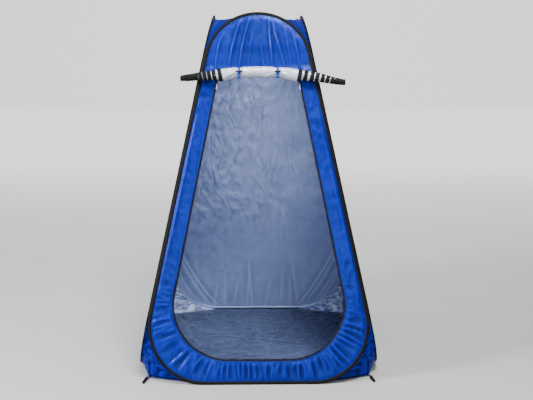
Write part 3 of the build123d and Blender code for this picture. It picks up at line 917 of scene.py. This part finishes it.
FLOOR_CELLS = 200
FLOOR_EDGE = WALL_BASE_HALF - 0.0012
FLOOR_FOOT = corner_middle(HOOP_BASE_HALF, SIDE_ANGLE, HOOP_CORNER_RADIUS)  # where a hoop's foot ends
FLOOR_LOWEST = 0.0016


def floor_rim(toward, corner_along, corner_edge):
    """One side of the floor's outline, by share of the way from its middle to a corner: (along, out)."""
    knots = (0, FLOOR_FOOT / corner_along, 1)
    along = np.interp(toward, knots, (0, FLOOR_FOOT, corner_along))
    return along, np.interp(toward, knots, (FLOOR_EDGE, FLOOR_EDGE, corner_edge))


def floor_sheet():
    """The floor: slack coated cloth lying on the ground, ridged where the hoops pull at its corners."""
    steps = np.linspace(-1, 1, FLOOR_CELLS + 1)
    p, q = np.meshgrid(steps, steps)
    ring = np.maximum(np.maximum(np.abs(p), np.abs(q)), 1e-9)
    toward = np.minimum(np.abs(p), np.abs(q)) / ring
    corner_x, corner_y = FLOOR_CORNER
    along_y, out_x = floor_rim(toward, corner_y, corner_x)
    along_x, out_y = floor_rim(toward, corner_x, corner_y)
    on_x_side = np.abs(p) > np.abs(q)
    x = np.sign(p) * ring * np.where(on_x_side, out_x, along_x)
    y = np.sign(q) * ring * np.where(on_x_side, along_y, out_y)
    height = 0.0040 + 0.0056 * crumple(x, y, 0.22, 701, 3) + 0.0014 * crumple(x, y, 0.09, 711)
    random = np.random.default_rng(760)
    for _ in range(26):
        start = random.uniform(-0.5, 0.5, 2)
        way = math.radians(random.uniform(-50, 60))
        end = start + random.uniform(0.15, 0.5) * np.array([math.cos(way), math.sin(way)])
        bend = random.uniform(-0.02, 0.02)
        height += pull_fold(x, y, start, end, random.uniform(0.003, 0.006), 0.007, bend)
    height += corner_fans(x, y, (0.60, 0.58), 38, (0.03, 0.5), 0.0070, 0.010, 720)
    for fold in (
        ((-0.42, 0.10), (0.30, -0.06), 0.007, 0.010, 0.03),
        ((-0.20, 0.34), (0.42, 0.22), 0.006, 0.009, -0.02),
        ((0.05, -0.42), (0.50, -0.20), 0.006, 0.010, 0.02),
        ((-0.35, -0.42), (0.10, -0.25), 0.007, 0.009, 0.02),
    ):
        height += pull_fold(x, y, *fold)
    lift = FLOOR_LOWEST + 0.0012 * np.log1p(np.exp((height - 0.001) / 0.0012))  # never under its lowest
    free = smooth(0, 0.04, (1 - ring) * 0.6)
    height = lift * free + FLOOR_LOWEST * (1 - free)
    # painted shading for the floor's colour: lighter on crests, darker in hollows
    points, fold_shading_mask = joined(x, y, height), local_relief(height, (4, 4), 0.0016)
    sheet = make_object("floor", points, grid_faces(*x.shape), [floor_cloth], joined(x, y), fold_shading_mask)
    thicken(sheet, CLOTH_THICKNESS)
    dress(sheet, "front", "floor_sheet")
    fold_onto_front(sheet)


# ------------------------------ corner gussets

GUSSET_ROWS, GUSSET_COLUMNS = 100, 100
GUSSET_N = 0.0005
GUSSET_ROUNDING = 0.08
GUSSET_HEIGHT = 0.36  # along the cloth, from its point to the ground
GUSSET_FOOT_Z = 0.004


def gusset_edge(side, share, wall):
    """A hoop's lower corner, from its straight side down to its foot."""
    radius = HOOP_CORNER_RADIUS - GUSSET_INSET
    angle = SIDE_ANGLE - share * (math.pi / 2 + SIDE_ANGLE)
    u = side * (corner_middle(hoop_foot(GUSSET_INSET), SIDE_ANGLE, radius) + radius * np.cos(angle))
    v = GUSSET_INSET + radius + radius * np.sin(angle)
    return wall_xyz(u, v, GUSSET_N, wall)


def gusset(corner, seed):
    """The slack piece that closes a bottom corner, between two hoops' round corners and the floor."""
    first, second = CORNERS[corner]
    rows = np.linspace(0.004, 1, GUSSET_ROWS)
    a, b = gusset_edge(1, rows, first), gusset_edge(-1, rows, second)
    start = (gusset_edge(1, 0.0, first) + gusset_edge(-1, 0.0, second)) / 2
    foot = floor_corner(1 if "right" in corner else -1, 1 if "back" in corner else -1, GUSSET_FOOT_Z)
    fold = start + (foot - start) * rows[:, None]
    across = np.linspace(-1, 1, GUSSET_COLUMNS)[None, :]
    bend = np.abs(across)
    soft = np.sqrt(bend**2 + GUSSET_ROUNDING) - math.sqrt(GUSSET_ROUNDING)
    soft = (soft / (math.sqrt(1 + GUSSET_ROUNDING) - math.sqrt(GUSSET_ROUNDING)))[..., None]
    points = fold[:, None] * (1 - soft) + np.where(across[..., None] < 0, a[:, None], b[:, None]) * soft
    width = np.linalg.norm(a - b, axis=1)[:, None]
    u = across * np.maximum(width, 0.02) / 2
    v = np.repeat((rows * GUSSET_HEIGHT)[:, None], GUSSET_COLUMNS, 1)
    held = smooth(0, 0.10, 1 - bend) * smooth(0, 0.05, width)
    wrinkles = 0.008 * crumple(u, v, 0.09, seed) + 0.004 * crumple(u, v, 0.05, seed + 9, 2)
    wrinkles += fan(u, v, np.array([0.0, 0.0]), (50, 130), (0.02, 0.42), 9, 0.004, 0.012, seed + 20)
    wrinkles *= 0.45 + 0.55 * smooth(0.0, 0.25, bend)
    foot_wave = smooth(0.30, 0.36, v) * 0.008 * noise(u / 0.07, 0, seed + 30)
    push = wrinkles * held * (1 - 0.5 * smooth(0.32, 0.36, v)) + foot_wave * held
    push *= 1 - 0.9 * smooth(0.25, 0.32, v) * smooth(0.10, 0.04, np.abs(u))  # calm above the peg loop
    beside_lifted_loop = smooth(0.25, 0.28, v) * smooth(0.360, 0.354, v) * smooth(0.045, 0.015, np.abs(u))
    push -= 0.012 * beside_lifted_loop
    points = points + unit(wall_normal(first) + wall_normal(second)) * push[..., None]
    tucked = smooth(0.94, 1.0, rows)[:, None] * smooth(0.0, 0.15, bend)  # along the floor's edge
    points[..., :2] *= (1 - 0.025 * tucked)[..., None]
    points[..., 2] = np.maximum(points[..., 2] * (1 - 0.6 * tucked), 0.0012 + 0.0018 * tucked)
    # painted shading for the gusset's colour: lighter on crests, darker in hollows
    faces, fold_shading_mask = grid_faces(*u.shape)[:, ::-1], local_relief(push, (4, 4), 0.0011)
    sheet = make_object(f"{corner}_gusset", points, faces, [blue_slack, gusset_silver_painted_highlights], joined(u, v), fold_shading_mask)
    thicken(sheet, CLOTH_THICKNESS, lining=True)
    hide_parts(f"gusset_{corner}")
    if corner == OPEN_CORNER:
        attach(sheet, "left")
        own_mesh(sheet)
    else:
        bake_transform(sheet)


floor_sheet()
for seed, corner in enumerate(CORNERS):
    gusset(corner, 800 + 40 * seed)

# ------------------------------ rolled door

FLAP_LENGTH = 1.516  # from its hem down to its foot, before it was rolled
FLAP_THICKNESS = 0.0004
ROLL_PITCH = 0.00150  # from one turn to the next
ROLL_ROWS, ROLL_COLUMNS = 560, 84
ROLL_RADIUS = ROLL_STATIONS[:, 2].max()
ROLL_HEM_N = 0.004
ROLL_NARROWING = 0.94  # the flap lies in slight gathers along the roll
ROLL_DRIFT = (0.008, 0.024)  # how far to the right the outermost and the inner turns lie
FLAP_TAPE_THICKNESS = 0.0003
FLAP_TAPE_ACROSS = np.array([-0.0200, -0.0185, -0.0060, -0.0045, -0.0018, 0.0004])
FLAP_TAPE_RISE = np.array([0.0003, 0.0006, 0.0006, 0.0013, 0.0013, 0.0004])


def roll_middle(u):
    """The height up the wall of the roll's middle line."""
    before, here, after = (np.interp(u + step, *ROLL_STATIONS[:, :2].T) for step in (-0.03, 0.0, 0.03))
    return ((2 * here + before + after) / 4 - ROLL_CENTRE_N * SIN_TILT) / COS_TILT


def roll_turns():
    """The rolled flap's section: angle, radius and length unrolled so far, from hem to foot.

    The angle starts straight up and runs back, down, forward and up again.
    """
    hem_up, hem_back = DOOR_TOP - roll_middle(0.0), ROLL_CENTRE_N - ROLL_HEM_N
    start = math.atan2(hem_back, hem_up)
    angle = np.linspace(start, start + 2 * math.pi * 17, 4000)  # more turns than the flap needs
    radius = ROLL_RADIUS - ROLL_PITCH * (angle - start) / (2 * math.pi)
    radius += (math.hypot(hem_up, hem_back) - ROLL_RADIUS) * (1 - smooth(start, start + 1.1, angle))
    length = np.concatenate([[0], np.cumsum(np.hypot(np.diff(radius), radius[1:] * np.diff(angle)))])
    rows = np.linspace(start, np.interp(FLAP_LENGTH, length, angle), ROLL_ROWS)
    return rows, np.interp(rows, angle, radius), np.interp(rows, angle, length)


def roll_edges(length):
    """The flap's left and right edges by length unrolled, along the roll."""
    half = door_width(DOOR_TOP - length)
    corner = np.maximum(DOOR_CORNER_RADIUS - (FLAP_LENGTH - length), 0)
    rounded = DOOR_CORNER_RADIUS - np.sqrt(np.maximum(DOOR_CORNER_RADIUS**2 - corner**2, 0))
    half = (half - rounded) * ROLL_NARROWING
    drift = ROLL_DRIFT[0] + (ROLL_DRIFT[1] - ROLL_DRIFT[0]) * smooth(0.1, 1.2, length)
    left = -half + drift + 0.003 * noise(length / 0.17, 0, 902)
    right = half + drift + 0.003 * noise(length / 0.17, 0, 903)
    return left, right


ROLL_ANGLE, ROLL_RADII, ROLL_LENGTHS = roll_turns()
ROLL_START = ROLL_ANGLE[0]


def roll_surface(u, angle, radius, rise=0.0):
    """Places on the rolled flap, lifted outward by rise: it bulges between its ties and hangs at its ends."""
    unrolled = angle - ROLL_START
    turn = np.mod(unrolled, 2 * math.pi)
    hidden = smooth(0, 0.9, turn) * smooth(0, 0.7, 2 * math.pi - turn)
    around = turn * ROLL_RADIUS
    tie_distance = np.abs(np.abs(u) - TIE_U)
    bulge = 0.0016 * (1 - np.exp(-((tie_distance / 0.022) ** 2))) - 0.0006
    folds = 0.0026 * crumple(u * 0.8, around * 1.3, 0.060, 910)
    front = math.pi * 1.25 * ROLL_RADIUS
    for side in (-1, 1):
        tie = np.array([side * TIE_U, front])
        for middle in (0, 180):
            angles = (middle - 52, middle + 52)
            seed = 920 + middle + side
            folds = folds + fan(u, around, tie, angles, (0.004, 0.095), 7, 0.0055, 0.0050, seed)
    inside = radius / ROLL_RADIUS
    outermost = 1 - smooth(1.7 * math.pi, 2.1 * math.pi, unrolled)
    foot = np.exp(-(((turn - 2.3) / 0.75) ** 2)) * smooth(0.12, 0.20, np.abs(u)) * outermost
    radius = radius + (bulge + folds) * hidden * inside + 0.0085 * foot + rise
    radius = radius * (1 + 0.05 * noise(u / 0.07, 3, 930) * smooth(0.2, 0.3, np.abs(u)))
    v = roll_middle(u) + radius * np.cos(angle)
    n = ROLL_CENTRE_N - radius * np.sin(angle)
    held = smooth(0, 0.6, unrolled)
    v = v * held + (DOOR_TOP + (v - DOOR_TOP) * 0.25) * (1 - held)
    return wall_xyz(u, v, np.maximum(n, ROLL_HEM_N - 0.001))


def on_roll(u):
    """Angle, radius and length unrolled for each place of a grid that follows the roll's turns."""
    return (part[:, None] + 0 * u for part in (ROLL_ANGLE, ROLL_RADII, ROLL_LENGTHS))


def rolled_flap():
    """The door's cloth, silver side out, rolled up from its foot."""
    left, right = roll_edges(ROLL_LENGTHS)
    share = np.linspace(0, 1, ROLL_COLUMNS)[None, :]
    u = left[:, None] * (1 - share) + right[:, None] * share
    angle, radius, length = on_roll(u)
    points, uv = roll_surface(u, angle, radius), joined(u / ROLL_NARROWING, length)
    flap = make_object("rolled_flap", points, grid_faces(*u.shape), [flap_silver, blue_out], uv)
    thicken(flap, FLAP_THICKNESS, lining=True)
    dress(flap, "door", "door_flap_roll")
    return flap


def flap_tape(side, name):
    """The flap's half of the zip, sewn along one edge and rolled up with it."""
    edge = roll_edges(ROLL_LENGTHS)[0 if side < 0 else 1]
    u = edge[:, None] + side * FLAP_TAPE_ACROSS[None, :]
    angle, radius, length = on_roll(u)
    points, uv = roll_surface(u, angle, radius, FLAP_TAPE_RISE[None, :]), joined(FLAP_TAPE_ACROSS, length)
    faces = grid_faces(*u.shape)[:, ::side]
    tape = make_object(f"flap_zip_tape_{name}", points, faces, [black_tape], uv)
    thicken(tape, FLAP_TAPE_THICKNESS)
    dress(tape, "door", f"flap_zip_{name}")
    return tape


flap = rolled_flap()
tapes = [flap_tape(side, name) for side, name in SIDES]

# ------------------------------ ties and toggles

TIE_WIDTH = 0.012
TIE_TAIL_WIDTH = 0.017
TIE_TAIL_LENGTH = 0.030
TIE_THICKNESS, TIE_TAIL_THICKNESS = 0.0009, 0.0012
TIE_CLEARANCE = 0.0008
TIE_POINTS = 160
TOGGLE_HALF_PROFILE = [
    (0.0000, 0.0036), (0.0016, 0.0038), (0.0028, 0.0046), (0.0050, 0.0050), (0.0110, 0.0049),
    (0.0145, 0.0045), (0.0163, 0.0035), (0.0172, 0.0021), (0.0175, 0.0002),
]  # (distance from its middle, radius), with a groove where the cord goes through
CORD_RADIUS = 0.0011
CORD_RINGS = (
    (-0.0062, 1, 1), (0.0036, 1, 1), (0.0042, 2.2, 1.9), (0.0056, 2.5, 2.2), (0.0070, 1.6, 1.3),
    (0.0074, 0.2, 0.2),
)  # (place, half width and half height by the cord's radius), with a knot at its outer end
TAIL_POINTS = 24
RIBBON_PROFILE = np.array([
    (-0.50, 0.15), (-0.47, 0.5), (-0.2, 0.56), (0.2, 0.56), (0.47, 0.5), (0.50, 0.15),
    (0.50, -0.15), (0.47, -0.5), (-0.47, -0.5), (-0.50, -0.15),
])  # across by width, and out by thickness


def ribbon(name, centre_line, across, normal, width, thickness, material):
    """A flat strip along a line: across is its sideways direction, normal its outward one at each point."""
    sideways = RIBBON_PROFILE[None, :, 0] * np.broadcast_to(width, len(centre_line))[:, None]
    outward = (RIBBON_PROFILE[None, :, 1] * thickness)[..., None]
    points = centre_line[:, None] + np.array(across) * sideways[..., None] + normal[:, None] * outward
    uv = joined(sideways, distance_along(centre_line)[:, None])
    return make_object(name, points, tube_faces(*sideways.shape), [material], uv)


def door_tie(side, name):
    """A tie: tape down from the hem over the front of the roll, under it and up the back."""
    angle = np.linspace(ROLL_START + 0.15, ROLL_START + 2 * math.pi - 0.1, TIE_POINTS)
    radius = np.interp(angle, ROLL_ANGLE, ROLL_RADII)
    surface = roll_surface(np.full(TIE_POINTS, side * TIE_U), angle, radius)
    outward = surface - wall_xyz(side * TIE_U, roll_middle(np.array(side * TIE_U)), ROLL_CENTRE_N)
    outward[:, 0] = 0
    outward = unit(outward)
    path = surface + outward * TIE_CLEARANCE
    band = ribbon(f"tie_{name}_band", path, (1, 0, 0), outward, TIE_WIDTH, TIE_THICKNESS, blue_webbing)
    dress(band, "door", f"door_tie_{name}")


def lathe(name, half_profile, place, material, sides=28):
    """A turned bar along X, the same on both sides of its middle."""
    profile = [(-x, r) for x, r in half_profile[:0:-1]] + half_profile
    turn = np.linspace(0, 2 * math.pi, sides, endpoint=False)
    points = [place + (x, r * math.cos(a), r * math.sin(a)) for x, r in profile for a in turn]
    faces = grid_faces(len(profile), sides, wrap_columns=True)[:, ::-1]
    obj = make_object(name, points, faces, [material])
    round_off(obj)
    return obj


def toggle(name):
    """A toggle, its cord with a knot, and the tie's tail that hangs below it."""
    low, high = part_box(f"toggle_{name}")
    middle = np.array((low + high) / 2)
    bar = lathe(f"toggle_{name}_bar", TOGGLE_HALF_PROFILE, middle, toggle_plastic)
    dress(bar, f"toggle_{name}", f"toggle_{name}")
    normal, down = wall_normal("front"), np.array([0.0, 0.0, -1.0])
    share = np.linspace(0, 1, TAIL_POINTS)
    curl = 0.004 * np.sin(share * 2.6) * share
    start = middle - normal * 0.0052 + down * 0.001
    path = start + down * (share * TIE_TAIL_LENGTH)[:, None] + normal * curl[:, None]
    width = TIE_WIDTH + (TIE_TAIL_WIDTH - TIE_WIDTH) * smooth(0.05, 0.35, share)
    normals = np.tile(normal, (len(path), 1))
    sizes = (width, TIE_TAIL_THICKNESS)
    tail = ribbon(f"tie_{name}_tail", path, (1, 0, 0), normals, *sizes, blue_webbing)
    dress(tail, "door")
    rings = [(place, across * CORD_RADIUS, out * CORD_RADIUS) for place, across, out in CORD_RINGS]
    points, faces = ring_shape(rings, 12)
    axes = np.stack([normal, (1.0, 0.0, 0.0), np.cross(normal, (1.0, 0.0, 0.0))])
    cord = make_object(f"tie_{name}_cord", middle + points @ axes, faces, [blue_webbing])
    dress(cord, f"toggle_{name}")


for side, name in SIDES:
    door_tie(side, name)
    toggle(name)

# ------------------------------ doorway zip, hem and pulls

TAPE_PROFILE = np.array([
    (-0.0012, 0.0046), (-0.0004, 0.0054), (0.0030, 0.0053), (0.0080, 0.0046), (0.0080, 0.0036),
    (-0.0012, 0.0032),
])  # (inset, n) round the tape
HEM_PROFILE = np.array([
    (0, 0.0045), (0.0006, 0.0060), (0.0070, 0.0064), (0.0130, 0.0062), (0.0140, 0.0052),
])  # (rise above the doorway, n)
HEM_POINTS = 120
COIL_INSET = 0.0093
TOOTH_PITCH = 0.0022
TOOTH_RINGS = ((-0.00075, 0.0009, 0.0006), (-0.0005, 0.0016, 0.0012))  # one half of a tooth
TOOTH_SHAPE = ring_shape([*TOOTH_RINGS, *((-x, wide, tall) for x, wide, tall in TOOTH_RINGS[::-1])], 8)
SLIDER_V, SLIDER_INSET = 1.556, 0.011  # where the sliders are parked
PULL_OUTLINE = (
    (-0.0019, 0.0012), (-0.0014, 0.0024), (0.0010, 0.0029), (0.0050, 0.0022), (0.0090, 0.0020),
    (0.0130, 0.0030), (0.0190, 0.0034), (0.0240, 0.0033), (0.0268, 0.0026), (0.0280, 0.0012),
)  # (distance from its pin, half width)
PULL_EYE = 0.003  # how far its thicker eye reaches


def doorway_path(inset, n):
    """Down the doorway's right side, across its foot and up its left side."""
    stop = FOOT_STEPS + CORNER_STEPS + SIDE_STEPS + 1
    half = door_outline(inset)[:stop]
    loop = np.concatenate([half[::-1], half[1:] * (-1, 1)])
    return wall_xyz(loop[:, 0], loop[:, 1], n)


def doorway_zip():
    """The zip's fixed half: its woven tape round the doorway and the coil along the tape's edge."""
    rows = np.stack([doorway_path(inset, n) for inset, n in TAPE_PROFILE])
    uv = joined(TAPE_PROFILE[:, :1], distance_along(rows[0])[None, :])
    faces = grid_faces(*rows.shape[:2], wrap_rows=True)
    tape = make_object("doorway_zip_tape", rows, faces, [black_tape], uv)
    dress(tape, "front", "door_zip_tape")
    path = doorway_path(COIL_INSET, SLEEVE_MIDDLE_N)
    coil = repeat_along("doorway_zip_coil", path, "front", TOOTH_PITCH, TOOTH_SHAPE, zip_nylon)
    dress(coil, "front", "door_zip_coil")
    stitch_row("doorway_zip_stitches", doorway_path(0.0022, 0.0055), "front", thread_black)


def doorway_hem():
    """The folded hem over the doorway that the flap hangs from, with its stitching."""
    half = door_width(DOOR_TOP)
    u = np.linspace(-half, half, HEM_POINTS)
    wave = 0.0004 * noise(u / 0.03, 0, 950)
    rows = np.stack([wall_xyz(u, DOOR_TOP + rise, n + wave) for rise, n in HEM_PROFILE])
    uv = joined(u[None, :], HEM_PROFILE[:, :1])
    hem = make_object("doorway_hem", rows, grid_faces(*rows.shape[:2]), [blue_out], uv)
    dress(hem, "front")
    for row, rise in enumerate((0.0025, 0.0115)):
        path = wall_xyz(u, DOOR_TOP + rise, 0.0064)
        stitch_row(f"doorway_hem_stitches_{row + 1}", path, "front", thread_blue)


def zip_pull(side, name):
    """A moulded pull: an eye on the slider's pin, a slim waist and a rounded grip."""
    pin = wall_xyz(side * door_width(SLIDER_V, SLIDER_INSET), SLIDER_V, SLEEVE_MIDDLE_N + 0.0054)
    along = wall_xyz(math.sin(side * DOOR_SIDE_ANGLE), -math.cos(DOOR_SIDE_ANGLE), 0.0) - wall_xyz(0, 0, 0)
    normal = wall_normal("front")
    across = np.cross(normal, along)
    points = []
    turn = np.linspace(0, 2 * math.pi, 20, endpoint=False)
    for reach, half in PULL_OUTLINE:
        thick = 0.0007 if reach > PULL_EYE else 0.0016
        for a in turn:
            square = max(abs(math.cos(a)), abs(math.sin(a))) ** 0.7
            side_on, face_on = half * math.cos(a) / square, thick * math.sin(a) / square
            points.append(pin + along * reach + across * side_on + normal * face_on)
    faces = tube_faces(len(PULL_OUTLINE), len(turn))
    pull = make_object(f"zip_pull_{name}_tab", points, faces, [pull_plastic])
    round_off(pull)
    dress(pull, f"pull_{name}", f"zip_pull_{name}")


doorway_zip()
doorway_hem()
for side, name in SIDES:
    zip_pull(side, name)

# ------------------------------ peg loops

LOOP_WEBBING = 0.0038
LOOP_STEPS = 40


def peg_loop(x_sign, y_sign, name):
    """A loop of webbing on its edge on the ground, whose two ends meet at the floor's corner."""
    way = np.array([x_sign * math.sin(LOOP_SPLAY), y_sign * math.cos(LOOP_SPLAY), 0.0])
    side = np.array([-way[1], way[0], 0.0])
    root = floor_corner(x_sign, y_sign, LOOP_HEIGHT / 2) + way * LOOP_GAP
    half, far = (LOOP_WIDTH - LOOP_WEBBING) / 2, LOOP_LENGTH - LOOP_WIDTH / 2
    tip = arc((far, 0), half, -math.pi / 2, math.pi / 2, LOOP_STEPS - 1)
    back = np.linspace(far, 0.001, LOOP_STEPS)
    back = joined(back, half * smooth(0.0, 0.018, back - 0.002))
    reach, aside = np.concatenate([tip, back[1:], back[:0:-1] * (1, -1)]).T[..., None]
    sway = 0.0012 * noise(reach / 0.03, 1.7, 970) * smooth(0.0, 0.02, reach)
    path = root + way * reach + side * (aside + sway)
    normal = unit(np.cross(np.roll(path, -1, 0) - np.roll(path, 1, 0), (0, 0, 1.0)))
    sizes = (LOOP_HEIGHT, LOOP_WEBBING)
    band = ribbon(f"peg_loop_{name}_webbing", path, (0, 0, 1), normal, *sizes, black_webbing)
    dress(band, f"loop_{name}", f"peg_loop_{name}")


for x_sign, x_name in SIDES:
    for y_sign, y_name in ((-1, "front"), (1, "back")):
        peg_loop(x_sign, y_sign, f"{y_name}_{x_name}")

# ------------------------------ CAD nodes that stay


def repaint(node, material, bevel=0.0):
    """A CAD node keeps its shape and gets a worked material, and its edges may be rounded."""
    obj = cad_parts[node]
    obj.data.materials.clear()
    obj.data.materials.append(material)
    if bevel:
        modifier = obj.modifiers.new("soft edges", "BEVEL")
        modifier.width = bevel
        modifier.segments = 2


for wall in WALLS:
    repaint(f"{wall}_hoop_wire", spring_steel)
    repaint(f"{wall}_hoop_ferrule", crimped_steel)
for _, name in SIDES:
    repaint(f"zip_slider_{name}", slider_metal, 0.0004)

# ------------------------------ camera, light and stage

CAMERA_PLACE = (-0.0275, -4.368, 1.575)
CAMERA_PITCH = math.radians(90 - 9.345)
CAMERA_YAW = math.radians(-1.0)
CAMERA_LENS = 51.57
SURROUND_BEFORE, SURROUND_BEHIND = 0.20, 1.5
FLOOR_REACH = 30.0
FAR_FLOOR = (0.0, 9.0)  # where the floor starts to merge with the surround, and where it has


def add_camera():
    """The camera, in front of the doorway at about eye height."""
    camera = add_object("camera", bpy.data.cameras.new("camera"))
    camera.data.lens = CAMERA_LENS
    camera.location = CAMERA_PLACE
    camera.rotation_euler = (CAMERA_PITCH, 0, CAMERA_YAW)
    bpy.context.scene.camera = camera


def add_light(name, place, target, size, power):
    """A square soft box that faces a point."""
    light = add_object(name, bpy.data.lights.new(name, "AREA"))
    light.data.size = size
    light.data.energy = power
    light.location = place
    light.rotation_euler = (Vector(target) - Vector(place)).to_track_quat("-Z", "Y").to_euler()


def add_stage():
    """A pale floor that glows faintly behind the tent, so that it merges with the surround."""
    corners = [(x * FLOOR_REACH, y * FLOOR_REACH, 0) for x, y in ((-1, -1), (1, -1), (1, 1), (-1, 1))]
    recipe = Recipe("studio_floor", Roughness=0.7)
    place = recipe.solid_place()
    recipe.vary("Base Color", recipe.cloud(place, 2.0, 2.0), 0.35, 0.37)
    behind = recipe.add("ShaderNodeSeparateXYZ", {"Vector": place}).outputs["Y"]
    near, far = FAR_FLOOR
    values = {"Value": behind, "From Min": near, "From Max": far, "To Min": 0.0, "To Max": 1.2}
    recipe.shader.inputs["Emission Color"].default_value = (1, 1, 1, 1)
    recipe.feed("Emission Strength", recipe.add("ShaderNodeMapRange", values).outputs["Result"])
    make_object("studio_floor", corners, [(0, 1, 2, 3)], [recipe.material])


def add_surround():
    """A white surround, brighter behind the tent than in front of it."""
    world = bpy.data.worlds.new("studio")
    world.use_nodes = True
    nodes, links = world.node_tree.nodes, world.node_tree.links
    nodes["Background"].inputs["Color"].default_value = (1, 1, 1, 1)
    direction = nodes.new("ShaderNodeTexCoord").outputs["Generated"]
    parts = nodes.new("ShaderNodeSeparateXYZ")
    links.new(direction, parts.inputs["Vector"])
    shade = nodes.new("ShaderNodeMapRange")
    links.new(parts.outputs["Y"], shade.inputs["Value"])
    values = {"From Min": -1.0, "From Max": 1.0, "To Min": SURROUND_BEFORE, "To Max": SURROUND_BEHIND}
    for socket, value in values.items():
        shade.inputs[socket].default_value = value
    links.new(shade.outputs["Result"], nodes["Background"].inputs["Strength"])
    bpy.context.scene.world = world


add_camera()
add_light("key", (-3.8, -2.0, 2.4), (0, 0, 0.9), 0.9, 370)
add_light("front", (0.6, -2.0, 4.2), (0, 0, 1.2), 1.0, 310)
add_light("fill", (0.15, -4.8, 1.3), (0, 0, 0.9), 2.2, 105)
add_stage()
add_surround()
